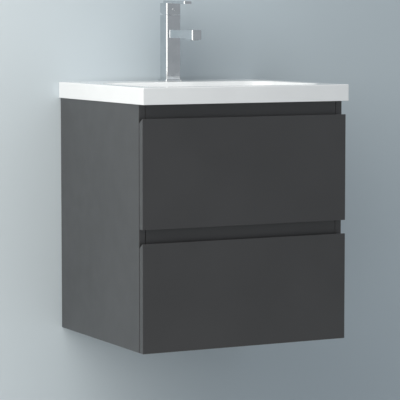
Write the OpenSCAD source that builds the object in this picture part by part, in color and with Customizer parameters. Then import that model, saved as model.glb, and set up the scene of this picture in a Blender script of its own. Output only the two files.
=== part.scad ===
// Wall-hung vanity unit: a two-drawer cabinet without handles, a slab basin on top and a square
// single-lever tap. Millimetres. X runs to the right as seen from the room, Y towards the wall
// and Z up. The origin is on the wall, midway between the four screw holes of the wall plates.

/* [Cabinet] */
// Width over the side panels and over the drawer fronts
cab_w = 500; // [440:1:640]
// Depth from the wall to the face of the drawer fronts
cab_d = 440; // [420:1:500]
// Height of each drawer front
front_h = 236; // [215:1:300]
// Height of the grip recess above each drawer front
grip_gap = 30; // [26:1:38]
// Thickness of the side, bottom and rail boards
board_t = 15; // [15:0.5:19]
// Gap between the cabinet's rear edges and the wall
wall_gap = 3; // [2.6:0.2:6]
// Height of the basin's underside above the middle of the wall screws
hang_drop = 70; // [68:1:90]
// Chamfer on the long visible edges of the boards
ease = 0.8; // [0.3:0.1:1.2]
// Height of the rail between the side panels at the top rear
rear_rail_h = 112; // [108:1:130]
// Height of the rail between the side panels at the bottom rear
foot_rail_h = 80; // [60:1:100]
// Height that the middle grip rail reaches up behind the upper front
rail_lap = 10; // [6:1:14]
// Depth that a grip rail reaches down behind the top edge of the front below it
rail_dip = 4; // [3:0.5:8]
// Width of the shadow groove at each end of a grip rail
groove_w = 1; // [0.6:0.1:2]
// Depth of the shadow groove at each end of a grip rail
groove_d = 6; // [3:0.5:8]
// Diameter of the dowels that join the carcass
dowel_d = 8; // [6:1:10]
// Length of the dowels that join the carcass
dowel_l = 30; // [24:1:36]
// Depth of a dowel in the side panel
dowel_in = 10; // [8:0.5:12]

/* [Drawers] */
// Thickness of the lacquered drawer fronts
front_t = 16; // [15:0.5:19]
// Height of the bevel at the rear of each front's top edge
bevel_h = 9.5; // [6:0.5:12]
// Depth of the flat strip left at the top edge in front of the bevel
bevel_land = 2.5; // [1.5:0.5:4]
// Thickness of the bumpers between a front and the carcass
bumper_t = 2; // [1.5:0.1:3]
// Diameter of the bumpers
bumper_d = 8; // [6:0.5:10]
// Thickness of the drawer sides and backs
box_t = 12; // [10:0.5:13]
// Thickness of the drawer bottoms
box_floor_t = 8; // [5:0.5:10]
// Height of the upper drawer's sides
upper_box_h = 96; // [80:1:104]
// Height of the lower drawer's sides
lower_box_h = 150; // [110:1:170]
// Height of the upper drawer's box above its front's bottom edge
upper_box_lift = 16; // [15:1:22]
// Height of the lower drawer's box above its front's bottom edge
lower_box_lift = 24; // [20:1:36]
// Free width of the pipe cut-out in the upper drawer
cutout_w = 120; // [100:1:150]
// Distance from the waste's axis to the front end of the pipe cut-out
cutout_reach = 48; // [40:1:60]
// Thickness of the moulded wall round the pipe cut-out
cutout_t = 4; // [3:0.5:6]
// Leg length of the front brackets
bracket_leg = 28; // [20:1:36]
// Height of the front brackets
bracket_h = 56; // [40:1:64]
// Sheet thickness of the front brackets
bracket_t = 2; // [1.5:0.25:3]

/* [Slides] */
// Length of each slide member
slide_l = 350; // [300:10:360]
// Distance of the slides' front ends behind the rear face of the fronts
slide_set = 4; // [3:0.5:8]
// Space between the side panel and the drawer side
slide_w = 12.7; // [12.4:0.1:13.5]
// Height of the slide
slide_h = 45; // [42:1:48]
// Sheet thickness of the slide members
slide_t = 1.2; // [1:0.1:1.5]
// Running gap between the nested slide members
slide_gap = 0.3; // [0.2:0.05:0.5]
// Height of the slide's middle above the drawer box's underside
slide_lift = 34; // [30:1:44]

/* [Hangers] */
// Distance from a side panel's inner face to the row of wall screws beside it
screw_inset = 29; // [27:0.5:34]
// Height between the wall screws of one plate
screw_pitch = 25; // [20:1:30]
// Diameter of the holes for the wall screws
screw_hole_d = 5.5; // [4.5:0.1:6.5]
// Width of a wall plate
plate_w = 38; // [30:1:42]
// Sheet thickness of a wall plate
plate_t = 2; // [1.5:0.1:2.5]
// Depth of the joggle that holds the plate's lip off the wall
plate_joggle = 4.5; // [4:0.1:5]
// Height of the flat part of a wall plate above and below its screws
plate_margin = 8; // [7:0.5:9]
// Height of the lip that the hook hangs on
lip_h = 12; // [10:0.5:14]
// Width of a hook
hook_w = 20; // [16:1:24]
// Sheet thickness of a hook
hook_t = 2.5; // [2:0.1:3]
// Width of the hanger's housing
housing_w = 44; // [40:1:48]
// Depth of the hanger's housing
housing_d = 22; // [18:1:26]
// Height of the hanger's housing
housing_h = 34; // [30:1:36]
// Diameter of the heads of the hanger's adjusting screws
adjuster_d = 8; // [6:0.5:9]

/* [Basin] */
// Overhang of the basin past each side panel
basin_side_over = 3; // [0:0.5:6]
// Overhang of the basin past the drawer fronts
basin_front_over = 9; // [4:0.5:14]
// Height of the basin's visible edge
basin_h = 36.5; // [32:0.5:45]
// Thickness of the basin's deck
deck_t = 16; // [14:0.5:20]
// Width of the apron under the basin's sides and back
apron_w = 22; // [18:1:26]
// Width of the apron under the basin's front edge
apron_front = 46; // [40:1:52]
// Width of the rim beside the bowl
rim_side = 38; // [32:1:48]
// Width of the rim in front of the bowl
rim_front = 28; // [24:1:36]
// Depth of the ledge behind the bowl
ledge_d = 124; // [115:1:135]
// Depth of the bowl
bowl_depth = 100; // [90:1:110]
// Corner radius of the bowl's opening
bowl_corner = 55; // [40:1:60]
// Radius between the bowl's walls and its floor
bowl_fillet = 45; // [35:1:50]
// Thickness of the bowl's wall
bowl_t = 9; // [7:0.5:11]
// Inward slope of the bowl's side walls, as a width
slope_side = 24; // [12:1:40]
// Inward slope of the bowl's front wall, as a width
slope_front = 52; // [50:1:60]
// Inward slope of the bowl's rear wall, as a width
slope_back = 24; // [16:1:36]
// Diameter of the waste hole
waste_hole_d = 46; // [45:0.5:48]
// Height of the boss below the bowl round the waste hole
boss_h = 14; // [8:1:20]
// Diameter of the overflow hole
overflow_d = 22; // [18:0.5:24]
// Depth of the overflow hole's middle below the rim
overflow_drop = 32; // [28:1:36]
// Diameter of the tap hole
tap_hole_d = 35; // [33:0.5:36]
// Distance from the wall to the tap's axis
tap_back = 66; // [58:1:72]

/* [Waste] */
// Diameter of the waste's flange
flange_d = 64; // [60:1:68]
// Thickness of the waste's flange
flange_t = 2.5; // [2:0.25:3.5]
// Outer diameter of the waste's threaded tube
tail_d = 41.9; // [41:0.1:43]
// Wall thickness of the waste's threaded tube
tail_wall = 3; // [2.5:0.25:4]
// Length of the waste's tube below the flange
tail_l = 72; // [66:1:80]
// Length of the thread at the tube's lower end
thread_l = 30; // [20:1:32]
// Depth by which the tube is relieved above its thread
thread_relief = 0.4; // [0.2:0.1:0.6]
// Thickness of the conical seal under the basin
seal_t = 5; // [3:0.5:8]
// Height of the waste's nut
waste_nut_h = 9; // [7:0.5:12]
// Diameter of the waste's nut
waste_nut_d = 58; // [54:1:62]
// Diameter of the plug's cap
plug_d = 58; // [54:1:60]
// Thickness of the plug's cap
plug_t = 3.5; // [3:0.25:5]
// Diameter of the plug's stem
stem_d = 10; // [8:0.5:12]
// Travel of the plug
plug_travel = 8; // [6:0.5:10]
// Radial running clearance of stems and shafts
run_fit = 0.05; // [0.03:0.01:0.08]

/* [Tap] */
// Width of the tap's square body
tap_w = 37.5; // [33:0.5:40]
// Corner radius of the tap's body
tap_corner = 5; // [3:0.5:6]
// Width of the tap's base plate
tap_base_w = 44; // [42:0.5:48]
// Thickness of the tap's base plate
tap_base_t = 4.5; // [3:0.5:6]
// Height of the tap's body above the basin
tap_body_h = 153; // [146:1:160]
// Height of the lever's head
head_h = 27.3; // [25:0.1:34]
// Gap between the lever's head and the body
head_gap = 0.4; // [0.3:0.1:0.6]
// Height of the spout's underside above the basin
spout_z = 100.5; // [90:0.5:106]
// Height of the spout's bar
spout_h = 18.5; // [17:0.5:22]
// Width of the spout's bar
spout_w = 25.5; // [24:0.5:28]
// Reach of the spout in front of the body
spout_reach = 118.75; // [95:0.25:125]
// Drop of the spout's outlet below the bar
outlet_drop = 3.5; // [2:0.5:8]
// Length of the spout's outlet block
outlet_l = 27; // [26:0.5:32]
// Diameter of the aerator
aerator_d = 20; // [19:0.5:21]
// Height of the aerator
aerator_h = 9; // [8:0.5:11]
// Diameter of the tap's waterways
waterway_d = 11; // [9:0.5:13]
// Diameter of the cartridge
cartridge_d = 25; // [24:0.5:26]
// Height of the cartridge
cartridge_h = 32; // [28:1:33]
// Diameter of the cartridge's turning shaft
shaft_d = 8; // [7:0.5:9]
// Length of the shaft inside the cartridge
shaft_l = 16; // [12:1:20]
// Diameter of the pin that the lever tilts on
pin_d = 3; // [2.5:0.25:3.5]
// Largest tilt of the lever in degrees, which sets its rear bevel
lever_tilt = 20; // [15:1:22]
// Reach of the lever in front of the body
lever_reach = 73.5; // [50:0.5:80]
// Width of the lever's plate
lever_w = 21; // [16:1:24]
// Thickness of the lever's plate
lever_t = 6.3; // [5:0.1:8]
// Fall of the lever's plate towards its tip in degrees
lever_fall = 1.4; // [0:0.1:3]
// Diameter of the index button on the lever's head
index_d = 7; // [5:0.5:9]
// Length of the tap's shank inside the basin
shank_l = 10; // [8:1:13]
// Diameter of the tap's fixing stud
stud_d = 8; // [6:0.5:8]
// Length of the fixing stud below the shank
stud_l = 46; // [40:1:56]
// Diameter of the horseshoe washer
washer_d = 56; // [50:1:60]
// Thickness of the horseshoe washer
washer_t = 3; // [2:0.25:4]
// Diameter of the ends of the tap's supply pipes
supply_d = 10; // [8:0.5:10]
// Depth of the supply pipes' upper ends in the body
supply_in = 12; // [10:0.5:14]
// Length of the supply pipes' lower ends
supply_end = 40; // [30:1:50]
// Distance from the basin's top surface down to the supply pipes' lower ends
supply_reach = 140; // [120:1:160]
// Wall thickness of the supply pipes
supply_wall = 1; // [0.8:0.1:1.2]

/* [Hidden] */
$fn = 64;

lacquer = "#4a4b4d";
carcass_inside = "#77787a";
box_grey = "#a9aaac";
steel = "#b9bcc0";
chrome = "#d6dade";
white_stone = "#f2f3f4";
black_plastic = "#2a2a2b";
rubber = "#1c1c1c";
brass = "#b99a55";
beech = "#c8a877";
cartridge_white = "#e8e4d8";
cut = 1;
gap = 0.3;

x_out = cab_w / 2;
x_in = x_out - board_t;
z_top = hang_drop;
z_bottom = z_top - 2 * (front_h + grip_gap);
y_face = -cab_d;
y_front_back = y_face + front_t;
y_edge = y_front_back + bumper_t;
y_back = -wall_gap;
y_rail_back = y_edge + board_t;
lower_front_z = z_bottom;
upper_front_z = z_bottom + front_h + grip_gap;
lower_box_z = lower_front_z + lower_box_lift;
upper_box_z = upper_front_z + upper_box_lift;
rail_low_z = z_top - rear_rail_h;
upper_slide_z = upper_box_z + slide_lift;
lower_slide_z = lower_box_z + slide_lift;

box_x = x_in - slide_w;
box_inner_x = box_x - box_t;
box_l = slide_l + slide_set;
box_end = y_front_back + box_l;

rim_z = z_top + basin_h;
basin_x = x_out + basin_side_over;
basin_y = y_face - basin_front_over;
bowl_x = basin_x - rim_side;
bowl_y0 = basin_y + rim_front;
bowl_y1 = -ledge_d;
floor_z = rim_z - bowl_depth;
floor_x = bowl_x - slope_side - bowl_fillet;
floor_y0 = bowl_y0 + slope_front + bowl_fillet;
floor_y1 = bowl_y1 - slope_back - bowl_fillet;
waste_y = (floor_y0 + floor_y1) / 2;
boss_z = floor_z - bowl_t - boss_h;
boss_wall = 14;
boss_r = waste_hole_d / 2 + boss_wall;
// Lean of the bowl's rear wall, which runs from its rim to touch the round of its floor
fillet_y = slope_back + bowl_fillet;
fillet_z = bowl_depth - bowl_fillet;
slope_a = 90 - atan(fillet_z / fillet_y) - asin(bowl_fillet / norm([fillet_y, fillet_z]));
overflow_y = bowl_y1 - overflow_drop * tan(slope_a);
// The overflow runs down a duct behind the bowl and forward under it to the waste
overflow_out = 20;
overflow_in = 12;
duct_wall = 8;
duct_h = 16;
duct_r = 5;
duct_w = overflow_d + 2 * duct_wall;
duct_y = bowl_y1 - duct_r;
duct_deep = 6;
duct_back = bowl_y1 + bowl_t + duct_deep;
duct_z = boss_z + duct_h / 2;
cutout_y = waste_y - cutout_reach;
// The tube is relieved above its thread, where the seal and the nut sit
tail_r = tail_d / 2 - thread_relief;
nut_play = 0.1;
slot_r = 4;
spider_h = 8;
spider_drop = 36;
spider_z = floor_z - spider_drop;
spider_wall = 4;
spider_arm = 3;
plug_skirt = 4;
plug_bevel = [3, 1.5];

tap_y = -tap_back;
body_z = rim_z + tap_base_t;
body_top = rim_z + tap_body_h;
head_z = body_top + head_gap;
cartridge_z = body_top - cartridge_h;
spout_low = rim_z + spout_z;
outlet_y = tap_y - tap_w / 2 - spout_reach;
deck_z = rim_z - deck_t;
stud_set = 9;
stud_y = tap_y + stud_set;
stud_in = 8;
stud_nut_h = 8;
stud_play = 0.05;
shank_play = 1.5;
shank_d = tap_hole_d - 2 * shank_play;
aerator_out = 1;
pin_drop = 4;
pin_z = head_z + pin_drop;
pin_out = 5;
pin_l = shaft_d + 2 * pin_out;
shaft_over = 3;
shaft_top = pin_z + shaft_over;
shaft_neck = 0.4;
index_drop = 14.3;
index_z = head_z + head_h - index_drop;
index_in = 3;
index_out = 1;
lever_set = 3;
supply_x = tap_hole_d / 4;
supply_set = 4;
supply_y = tap_y - supply_set;
supply_z = rim_z - supply_reach;
supply_neck = 0.5;
supply_room = 8;
supply_way_d = 4;
screw_x = x_in - screw_inset;
plate_top = screw_pitch / 2 + plate_margin;
lip_top = plate_top + plate_joggle + lip_h;
lip_y = -plate_joggle - plate_t;
window_lap = 4;
window_play = 2;
window_w = plate_w + 2 * window_play;
hook_drop = 8;
housing_wall = 6;
housing_z = lip_top - housing_wall;
housing_back = y_back - board_t;
housing_front = housing_back - housing_d;
adjuster_x = 10;
adjuster_lift = 10;
adjuster_z = lip_top + hook_t + adjuster_lift;
adjuster_l = 5;
slot_w = 1.2;

// The grip rail's end leaves least wood round a dowel, behind its shadow groove
dowel_wood = 0.4;
dowel_r = min(dowel_d / 2, (board_t - groove_d) / 2 - dowel_wood);
dowel_play = 0.1;
dowel_end = 0.5;
dowel_set = 60;
dowel_edge = 10;
grip_dowel_y = y_edge + groove_d + (board_t - groove_d) / 2;
rail_dowel_y = y_back - board_t / 2;
dowel_rows = [
    [y_edge + dowel_set, z_bottom + board_t / 2],
    [y_back - dowel_set, z_bottom + board_t / 2],
    [grip_dowel_y, z_top - grip_gap / 2],
    [grip_dowel_y, z_bottom + front_h + grip_gap / 2],
    [rail_dowel_y, z_top - dowel_edge],
    [rail_dowel_y, rail_low_z + dowel_edge],
    [rail_dowel_y, z_bottom + board_t + foot_rail_h / 2]];
bumper_set = 20;
bracket_lift = 8;

// A block between two opposite corners
module block(low, high) {
    translate(low) cube(high - low);
}

// Draws its children on the right-hand side, or mirrored on the left-hand side
module on_side(side) {
    if (side == "left") mirror([1, 0, 0]) children();
    else children();
}

// A rounded square of the given width, round the Z axis
module rounded_square(width, radius) {
    half = width / 2 - radius;
    square([width, 2 * half], center = true);
    square([2 * half, width], center = true);
    for (x = [-half, half], y = [-half, half]) translate([x, y]) circle(radius);
}

// Flat bar along Y whose front corners are rounded in plan
module tongue(width, radius, y0, y1, z0, z1) {
    translate([0, 0, z0]) linear_extrude(z1 - z0) union() {
        translate([-width / 2, y0 + radius]) square([width, y1 - y0 - radius]);
        translate([-width / 2 + radius, y0]) square([width - 2 * radius, 2 * radius]);
        for (x = [-1, 1] * (width / 2 - radius)) translate([x, y0 + radius]) circle(radius);
    }
}

// A board end to end in X, given by its Y and Z corners
module cross_board(y0, y1, z0, z1, half_x) {
    block([-half_x, y0, z0], [half_x, y1, z1]);
}

// The dowel holes of both side joints, longer than the dowels by a little
module dowel_holes() {
    for (side = ["left", "right"], row = dowel_rows) on_side(side) {
        translate([x_in - (dowel_l - dowel_in) - dowel_end, row[0], row[1]]) rotate([0, 90, 0])
            cylinder(h = dowel_l + 2 * dowel_end, r = dowel_r + dowel_play);
    }
}

module side_panel(side) {
    color(lacquer) difference() {
        on_side(side) translate([0, 0, z_bottom]) linear_extrude(z_top - z_bottom) polygon([
            [x_in, y_back], [x_in, y_edge + ease], [x_in + ease, y_edge],
            [x_out - ease, y_edge], [x_out, y_edge + ease], [x_out, y_back]]);
        dowel_holes();
    }
}

module bottom_panel() {
    color(carcass_inside) difference() {
        cross_board(y_edge, y_back, z_bottom, z_bottom + board_t, x_in);
        dowel_holes();
    }
}

// Upper rear rail with a window behind which each wall plate is screwed on and hooked
module top_rear_rail() {
    color(carcass_inside) difference() {
        cross_board(housing_back, y_back, rail_low_z, z_top, x_in);
        dowel_holes();
        for (x = [-screw_x, screw_x])
            block([x - window_w / 2, housing_back - cut, -plate_top - window_lap],
                [x + window_w / 2, y_back + cut, lip_top + hook_t + window_lap]);
    }
}

module bottom_rear_rail() {
    color(carcass_inside) difference() {
        cross_board(y_back - board_t, y_back, z_bottom + board_t,
            z_bottom + board_t + foot_rail_h, x_in);
        dowel_holes();
    }
}

// Board at the back of a grip recess, with a narrow shadow groove against each side panel
module grip_rail(z0, z1) {
    color(lacquer) difference() {
        cross_board(y_edge, y_rail_back, z0, z1, x_in);
        for (side = ["left", "right"]) on_side(side)
            block([x_in - groove_w, y_edge - cut, z0 - cut], [x_in + cut, y_edge + groove_d, z1 + cut]);
        dowel_holes();
    }
}

module carcass_dowels() {
    color(beech) for (side = ["left", "right"], row = dowel_rows) on_side(side)
        translate([x_in - (dowel_l - dowel_in), row[0], row[1]]) rotate([0, 90, 0])
            cylinder(h = dowel_l, r = dowel_r);
}

// Wall plate: flat against the wall at its screws, then joggled forward to a lip
module wall_plate(side) {
    color(steel) on_side(side) difference() {
        translate([screw_x + plate_w / 2, 0, 0]) rotate([90, 0, -90]) linear_extrude(plate_w) polygon([
            [0, -plate_top], [0, plate_top], [plate_joggle, plate_top + plate_joggle],
            [plate_joggle, lip_top], [plate_joggle + plate_t, lip_top],
            [plate_joggle + plate_t, plate_top + plate_joggle - plate_t / 2],
            [plate_t, plate_top - plate_t / 2], [plate_t, -plate_top]]);
        for (z = [-screw_pitch / 2, screw_pitch / 2]) translate([screw_x, cut, z])
            rotate([90, 0, 0]) cylinder(h = plate_t + 2 * cut, d = screw_hole_d);
    }
}

// Hook that comes out of its housing and drops behind the wall plate's lip
module hanger_hook(side) {
    back = -plate_joggle + gap;
    color(steel) on_side(side) union() {
        block([screw_x - hook_w / 2, housing_front + housing_wall, lip_top],
            [screw_x + hook_w / 2, back + hook_t, lip_top + hook_t]);
        block([screw_x - hook_w / 2, back, lip_top - hook_drop],
            [screw_x + hook_w / 2, back + hook_t, lip_top]);
    }
}

module hanger_housing(side) {
    color(black_plastic) on_side(side) difference() {
        block([x_in - housing_w, housing_front, housing_z],
            [x_in, housing_back, min(housing_z + housing_h, z_top - 2)]);
        block([screw_x - hook_w / 2 - gap, housing_front + housing_wall - gap, lip_top - gap],
            [screw_x + hook_w / 2 + gap, housing_back + cut, lip_top + hook_t + gap]);
        for (dx = [-adjuster_x, adjuster_x])
            translate([screw_x + dx, housing_front - cut, adjuster_z]) rotate([-90, 0, 0])
                cylinder(h = cut + adjuster_l, r = adjuster_d / 2 + dowel_play);
    }
}

// Two cross-slotted adjusting screws on the face of each housing
module hanger_adjusters() {
    color(steel) for (side = ["left", "right"], dx = [-adjuster_x, adjuster_x]) on_side(side)
        translate([screw_x + dx, housing_front, adjuster_z]) rotate([-90, 0, 0]) difference() {
            cylinder(h = adjuster_l, d = adjuster_d);
            for (turn = [0, 90]) rotate([0, 0, turn]) translate([-adjuster_d / 3, -slot_w / 2, -cut])
                cube([2 * adjuster_d / 3, slot_w, cut + adjuster_l / 2]);
        }
}

// C-section along Y: its web stands at x0 and its flanges point to x1, at the given outer height
module c_section(x0, x1, height, y0, y1, zc) {
    way = sign(x1 - x0);
    low = min(x0, x1);
    wide = abs(x1 - x0);
    difference() {
        translate([low, y0, zc - height / 2]) cube([wide, y1 - y0, height]);
        translate([low + way * slide_t, y0 - cut, zc - height / 2 + slide_t])
            cube([wide, y1 - y0 + 2 * cut, height - 2 * slide_t]);
    }
}

// One member of a ball-bearing slide: the cabinet's, the middle or the drawer's
module slide_member(side, member, zc) {
    y0 = y_front_back + slide_set;
    y1 = y0 + slide_l;
    step = slide_t + slide_gap;
    color(steel) on_side(side) {
        if (member == "cabinet") c_section(x_in, x_in - slide_w + step, slide_h, y0, y1, zc);
        if (member == "middle")
            c_section(x_in - step, x_in - slide_w + step, slide_h - 2 * step, y0, y1, zc);
        if (member == "drawer")
            c_section(box_x, x_in - 2 * step, slide_h - 4 * step, y0, y1, zc);
    }
}

// Lacquered front with chamfered outer edges and a finger bevel along its rear top edge
module drawer_front(z0) {
    z1 = z0 + front_h;
    color(lacquer) intersection() {
        translate([-x_out, 0, 0]) rotate([90, 0, 90]) linear_extrude(cab_w) polygon([
            [y_face + ease, z0], [y_face, z0 + ease], [y_face, z1 - ease], [y_face + ease, z1],
            [y_face + bevel_land, z1], [y_front_back, z1 - bevel_h], [y_front_back, z0]]);
        translate([0, 0, z0 - cut]) linear_extrude(front_h + 2 * cut) polygon([
            [-x_out + ease, y_face], [x_out - ease, y_face], [x_out, y_face + ease],
            [x_out, y_front_back - ease], [x_out - ease, y_front_back],
            [-x_out + ease, y_front_back], [-x_out, y_front_back - ease], [-x_out, y_face + ease]]);
    }
}

module drawer_side(side, z0, height) {
    color(box_grey) on_side(side) block([box_inner_x, y_front_back, z0], [box_x, box_end, z0 + height]);
}

module upper_box_floor() {
    color(box_grey) difference() {
        cross_board(y_front_back, box_end, upper_box_z, upper_box_z + box_floor_t, box_inner_x);
        block([-cutout_w / 2 - cutout_t, cutout_y - cutout_t, upper_box_z - cut],
            [cutout_w / 2 + cutout_t, box_end + cut, upper_box_z + box_floor_t + cut]);
    }
}

module lower_box_floor() {
    color(box_grey)
        cross_board(y_front_back, box_end - box_t, lower_box_z, lower_box_z + box_floor_t, box_inner_x);
}

module upper_back(side) {
    color(box_grey) on_side(side) block([cutout_w / 2 + cutout_t, box_end - box_t, upper_box_z + box_floor_t],
        [box_inner_x, box_end, upper_box_z + upper_box_h]);
}

module lower_box_back() {
    color(box_grey) cross_board(box_end - box_t, box_end, lower_box_z, lower_box_z + lower_box_h, box_inner_x);
}

// U-shaped wall that keeps the stored things off the trap
module pipe_cutout() {
    color(black_plastic) difference() {
        block([-cutout_w / 2 - cutout_t, cutout_y - cutout_t, upper_box_z],
            [cutout_w / 2 + cutout_t, box_end, upper_box_z + upper_box_h]);
        block([-cutout_w / 2, cutout_y, upper_box_z - cut],
            [cutout_w / 2, box_end + cut, upper_box_z + upper_box_h + cut]);
    }
}

// Angle brackets in the corners between the drawer sides and the front
module brackets(z0) {
    color(steel) for (side = ["left", "right"]) on_side(side) difference() {
        block([box_inner_x - bracket_leg, y_front_back, z0],
            [box_inner_x, y_front_back + bracket_leg, z0 + bracket_h]);
        block([box_inner_x - bracket_leg - cut, y_front_back + bracket_t, z0 - cut],
            [box_inner_x - bracket_t, y_front_back + bracket_leg + cut, z0 + bracket_h + cut]);
    }
}

// Round bumpers on the rear of a front, where it meets the side panels' edges
module bumpers(z0) {
    color(rubber) for (x = [-1, 1], z = [z0 + bumper_set, z0 + front_h - bevel_h - bumper_set])
        translate([x * (x_out - board_t / 2), y_front_back, z]) rotate([-90, 0, 0])
            cylinder(h = bumper_t, d = bumper_d);
}

// The bowl as one rounded form, grown by a wall thickness
module bowl_form(grow, top_z, cap_h) {
    lean = grow * 1.3;
    hull() {
        for (x = [-1, 1] * (bowl_x - bowl_corner), y = [bowl_y0 + bowl_corner, bowl_y1 - bowl_corner])
            translate([x, y, top_z]) cylinder(h = cap_h, r = bowl_corner + lean, $fn = 32);
        for (x = [-floor_x, floor_x], y = [floor_y0, floor_y1])
            translate([x, y, floor_z + bowl_fillet]) sphere(bowl_fillet + grow, $fn = 32);
        block([-floor_x, floor_y0, floor_z - grow], [floor_x, floor_y1, floor_z - grow + 0.5]);
    }
}

module basin() {
    color(white_stone) difference() {
        union() {
            difference() {
                block([-basin_x, basin_y, z_top], [basin_x, 0, rim_z]);
                block([-basin_x + apron_w, basin_y + apron_front, z_top - cut],
                    [basin_x - apron_w, -apron_w, deck_z]);
            }
            bowl_form(bowl_t, rim_z - 2, 0.5);
            translate([0, waste_y, boss_z]) cylinder(h = boss_h + bowl_t, r = boss_r);
            block([-duct_w / 2, floor_y1, duct_z], [duct_w / 2, duct_back, deck_z + cut]);
            block([-duct_w / 2, waste_y, boss_z], [duct_w / 2, duct_back, boss_z + duct_h]);
        }
        bowl_form(0, rim_z, cut);
        translate([0, waste_y, boss_z - cut]) cylinder(h = bowl_depth, d = waste_hole_d);
        translate([0, tap_y, deck_z - cut]) cylinder(h = deck_t + 2 * cut, d = tap_hole_d);
        translate([0, overflow_y, rim_z - overflow_drop]) rotate([-90 - slope_a, 0, 0])
            translate([0, 0, -overflow_out]) cylinder(h = overflow_out + overflow_in, d = overflow_d);
        translate([0, duct_y, duct_z]) cylinder(h = rim_z - overflow_drop - duct_z, r = duct_r);
        translate([0, waste_y, duct_z]) rotate([-90, 0, 0]) cylinder(h = duct_y - waste_y, r = duct_r);
    }
}

// Chrome ring pressed into the overflow hole
module overflow_trim() {
    color(chrome) translate([0, overflow_y, rim_z - overflow_drop]) rotate([-90 - slope_a, 0, 0])
        rotate([180, 0, 0]) rotate_extrude() polygon([
            [overflow_d / 2 - 3, -6], [overflow_d / 2 - gap, -6], [overflow_d / 2 - gap, gap],
            [overflow_d / 2 + 3, gap], [overflow_d / 2 + 1, 2], [overflow_d / 2 - 3, 2]]);
}

// Flange and threaded tube of the waste, with overflow slots and a spider that guides the stem
module waste_body() {
    z0 = floor_z + flange_t - tail_l;
    bore = tail_d / 2 - tail_wall;
    color(chrome) translate([0, waste_y, 0]) difference() {
        union() {
            translate([0, 0, floor_z]) cylinder(h = flange_t, d = flange_d);
            translate([0, 0, z0]) cylinder(h = thread_l, d = tail_d);
            translate([0, 0, z0]) cylinder(h = tail_l - flange_t / 2, r = tail_r);
        }
        difference() {
            translate([0, 0, z0 - cut]) cylinder(h = tail_l + 2 * cut, r = bore);
            translate([0, 0, spider_z]) linear_extrude(spider_h) {
                circle(stem_d / 2 + spider_wall);
                for (turn = [0, 60, 120]) rotate(turn)
                    square([2 * bore + tail_wall, spider_arm], center = true);
            }
        }
        translate([0, 0, z0 - cut]) cylinder(h = tail_l, r = stem_d / 2 + run_fit);
        for (turn = [0, 90]) rotate([0, 0, turn])
            translate([0, 0, duct_z]) rotate([0, 90, 0])
                cylinder(h = tail_d + 2 * cut, r = slot_r, center = true);
    }
}

module waste_plug() {
    cap_z = floor_z + flange_t;
    stem_z = spider_z + spider_h / 2 - plug_travel;
    skirt_r = tail_d / 2 - tail_wall - 1;
    color(chrome) translate([0, waste_y, 0]) union() {
        rotate_extrude() polygon([
            [0, cap_z - plug_skirt], [skirt_r, cap_z - plug_skirt], [skirt_r, cap_z],
            [plug_d / 2, cap_z], [plug_d / 2, cap_z + plug_t - plug_bevel[1]],
            [plug_d / 2 - plug_bevel[0], cap_z + plug_t], [0, cap_z + plug_t]]);
        translate([0, 0, stem_z]) cylinder(h = cap_z - stem_z, d = stem_d);
    }
}

module waste_seal() {
    color(rubber) translate([0, waste_y, boss_z - seal_t]) difference() {
        cylinder(h = seal_t, r1 = waste_nut_d / 2 - 3, r2 = boss_r - 3);
        translate([0, 0, -cut]) cylinder(h = seal_t + 2 * cut, r = tail_r + nut_play);
    }
}

module waste_nut() {
    color(chrome) translate([0, waste_y, boss_z - seal_t - waste_nut_h]) difference() {
        cylinder(h = waste_nut_h, d = waste_nut_d, $fn = 8);
        translate([0, 0, -cut]) cylinder(h = waste_nut_h + 2 * cut, r = tail_r + nut_play);
    }
}

module tap_base() {
    color(chrome) translate([0, tap_y, rim_z]) difference() {
        linear_extrude(tap_base_t) rounded_square(tap_base_w, tap_corner);
        translate([0, 0, -cut]) cylinder(h = tap_base_t + 2 * cut, d = shank_d + 2 * gap);
    }
}

// Body, spout and shank in one casting, with its waterways, inlets and cartridge bore
module tap_body() {
    color(chrome) difference() {
        union() {
            translate([0, tap_y, body_z]) linear_extrude(body_top - body_z) rounded_square(tap_w, tap_corner);
            translate([0, tap_y, rim_z - shank_l]) cylinder(h = shank_l + tap_base_t + cut, d = shank_d);
            tongue(spout_w, tap_corner, outlet_y, tap_y, spout_low, spout_low + spout_h);
            tongue(spout_w, tap_corner, outlet_y, outlet_y + outlet_l, spout_low - outlet_drop,
                spout_low + cut);
        }
        translate([0, tap_y, cartridge_z]) cylinder(h = cartridge_h + cut, r = cartridge_d / 2 + run_fit);
        translate([0, tap_y, spout_low + spout_h / 2]) rotate([90, 0, 0])
            cylinder(h = spout_reach + tap_w / 2 - outlet_l / 2, d = waterway_d);
        translate([0, tap_y, spout_low + spout_h / 2]) cylinder(h = cartridge_z - spout_low, d = waterway_d);
        translate([0, outlet_y + outlet_l / 2, spout_low - outlet_drop])
            cylinder(h = outlet_drop + spout_h / 2, d = waterway_d);
        translate([0, outlet_y + outlet_l / 2, spout_low - outlet_drop - cut])
            cylinder(h = cut + aerator_h - aerator_out + gap, d = aerator_d + 2 * run_fit);
        for (x = [-supply_x, supply_x]) translate([x, supply_y, rim_z - shank_l - cut])
            cylinder(h = supply_in + cut, r = supply_d / 2 + stud_play);
        for (x = [-supply_x, supply_x]) translate([x, supply_y, rim_z - shank_l])
            cylinder(h = cartridge_z - rim_z + shank_l + cut, d = supply_way_d);
        translate([0, stud_y, rim_z - shank_l - cut])
            cylinder(h = stud_in + cut, r = stud_d / 2 + stud_play);
    }
}

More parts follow.
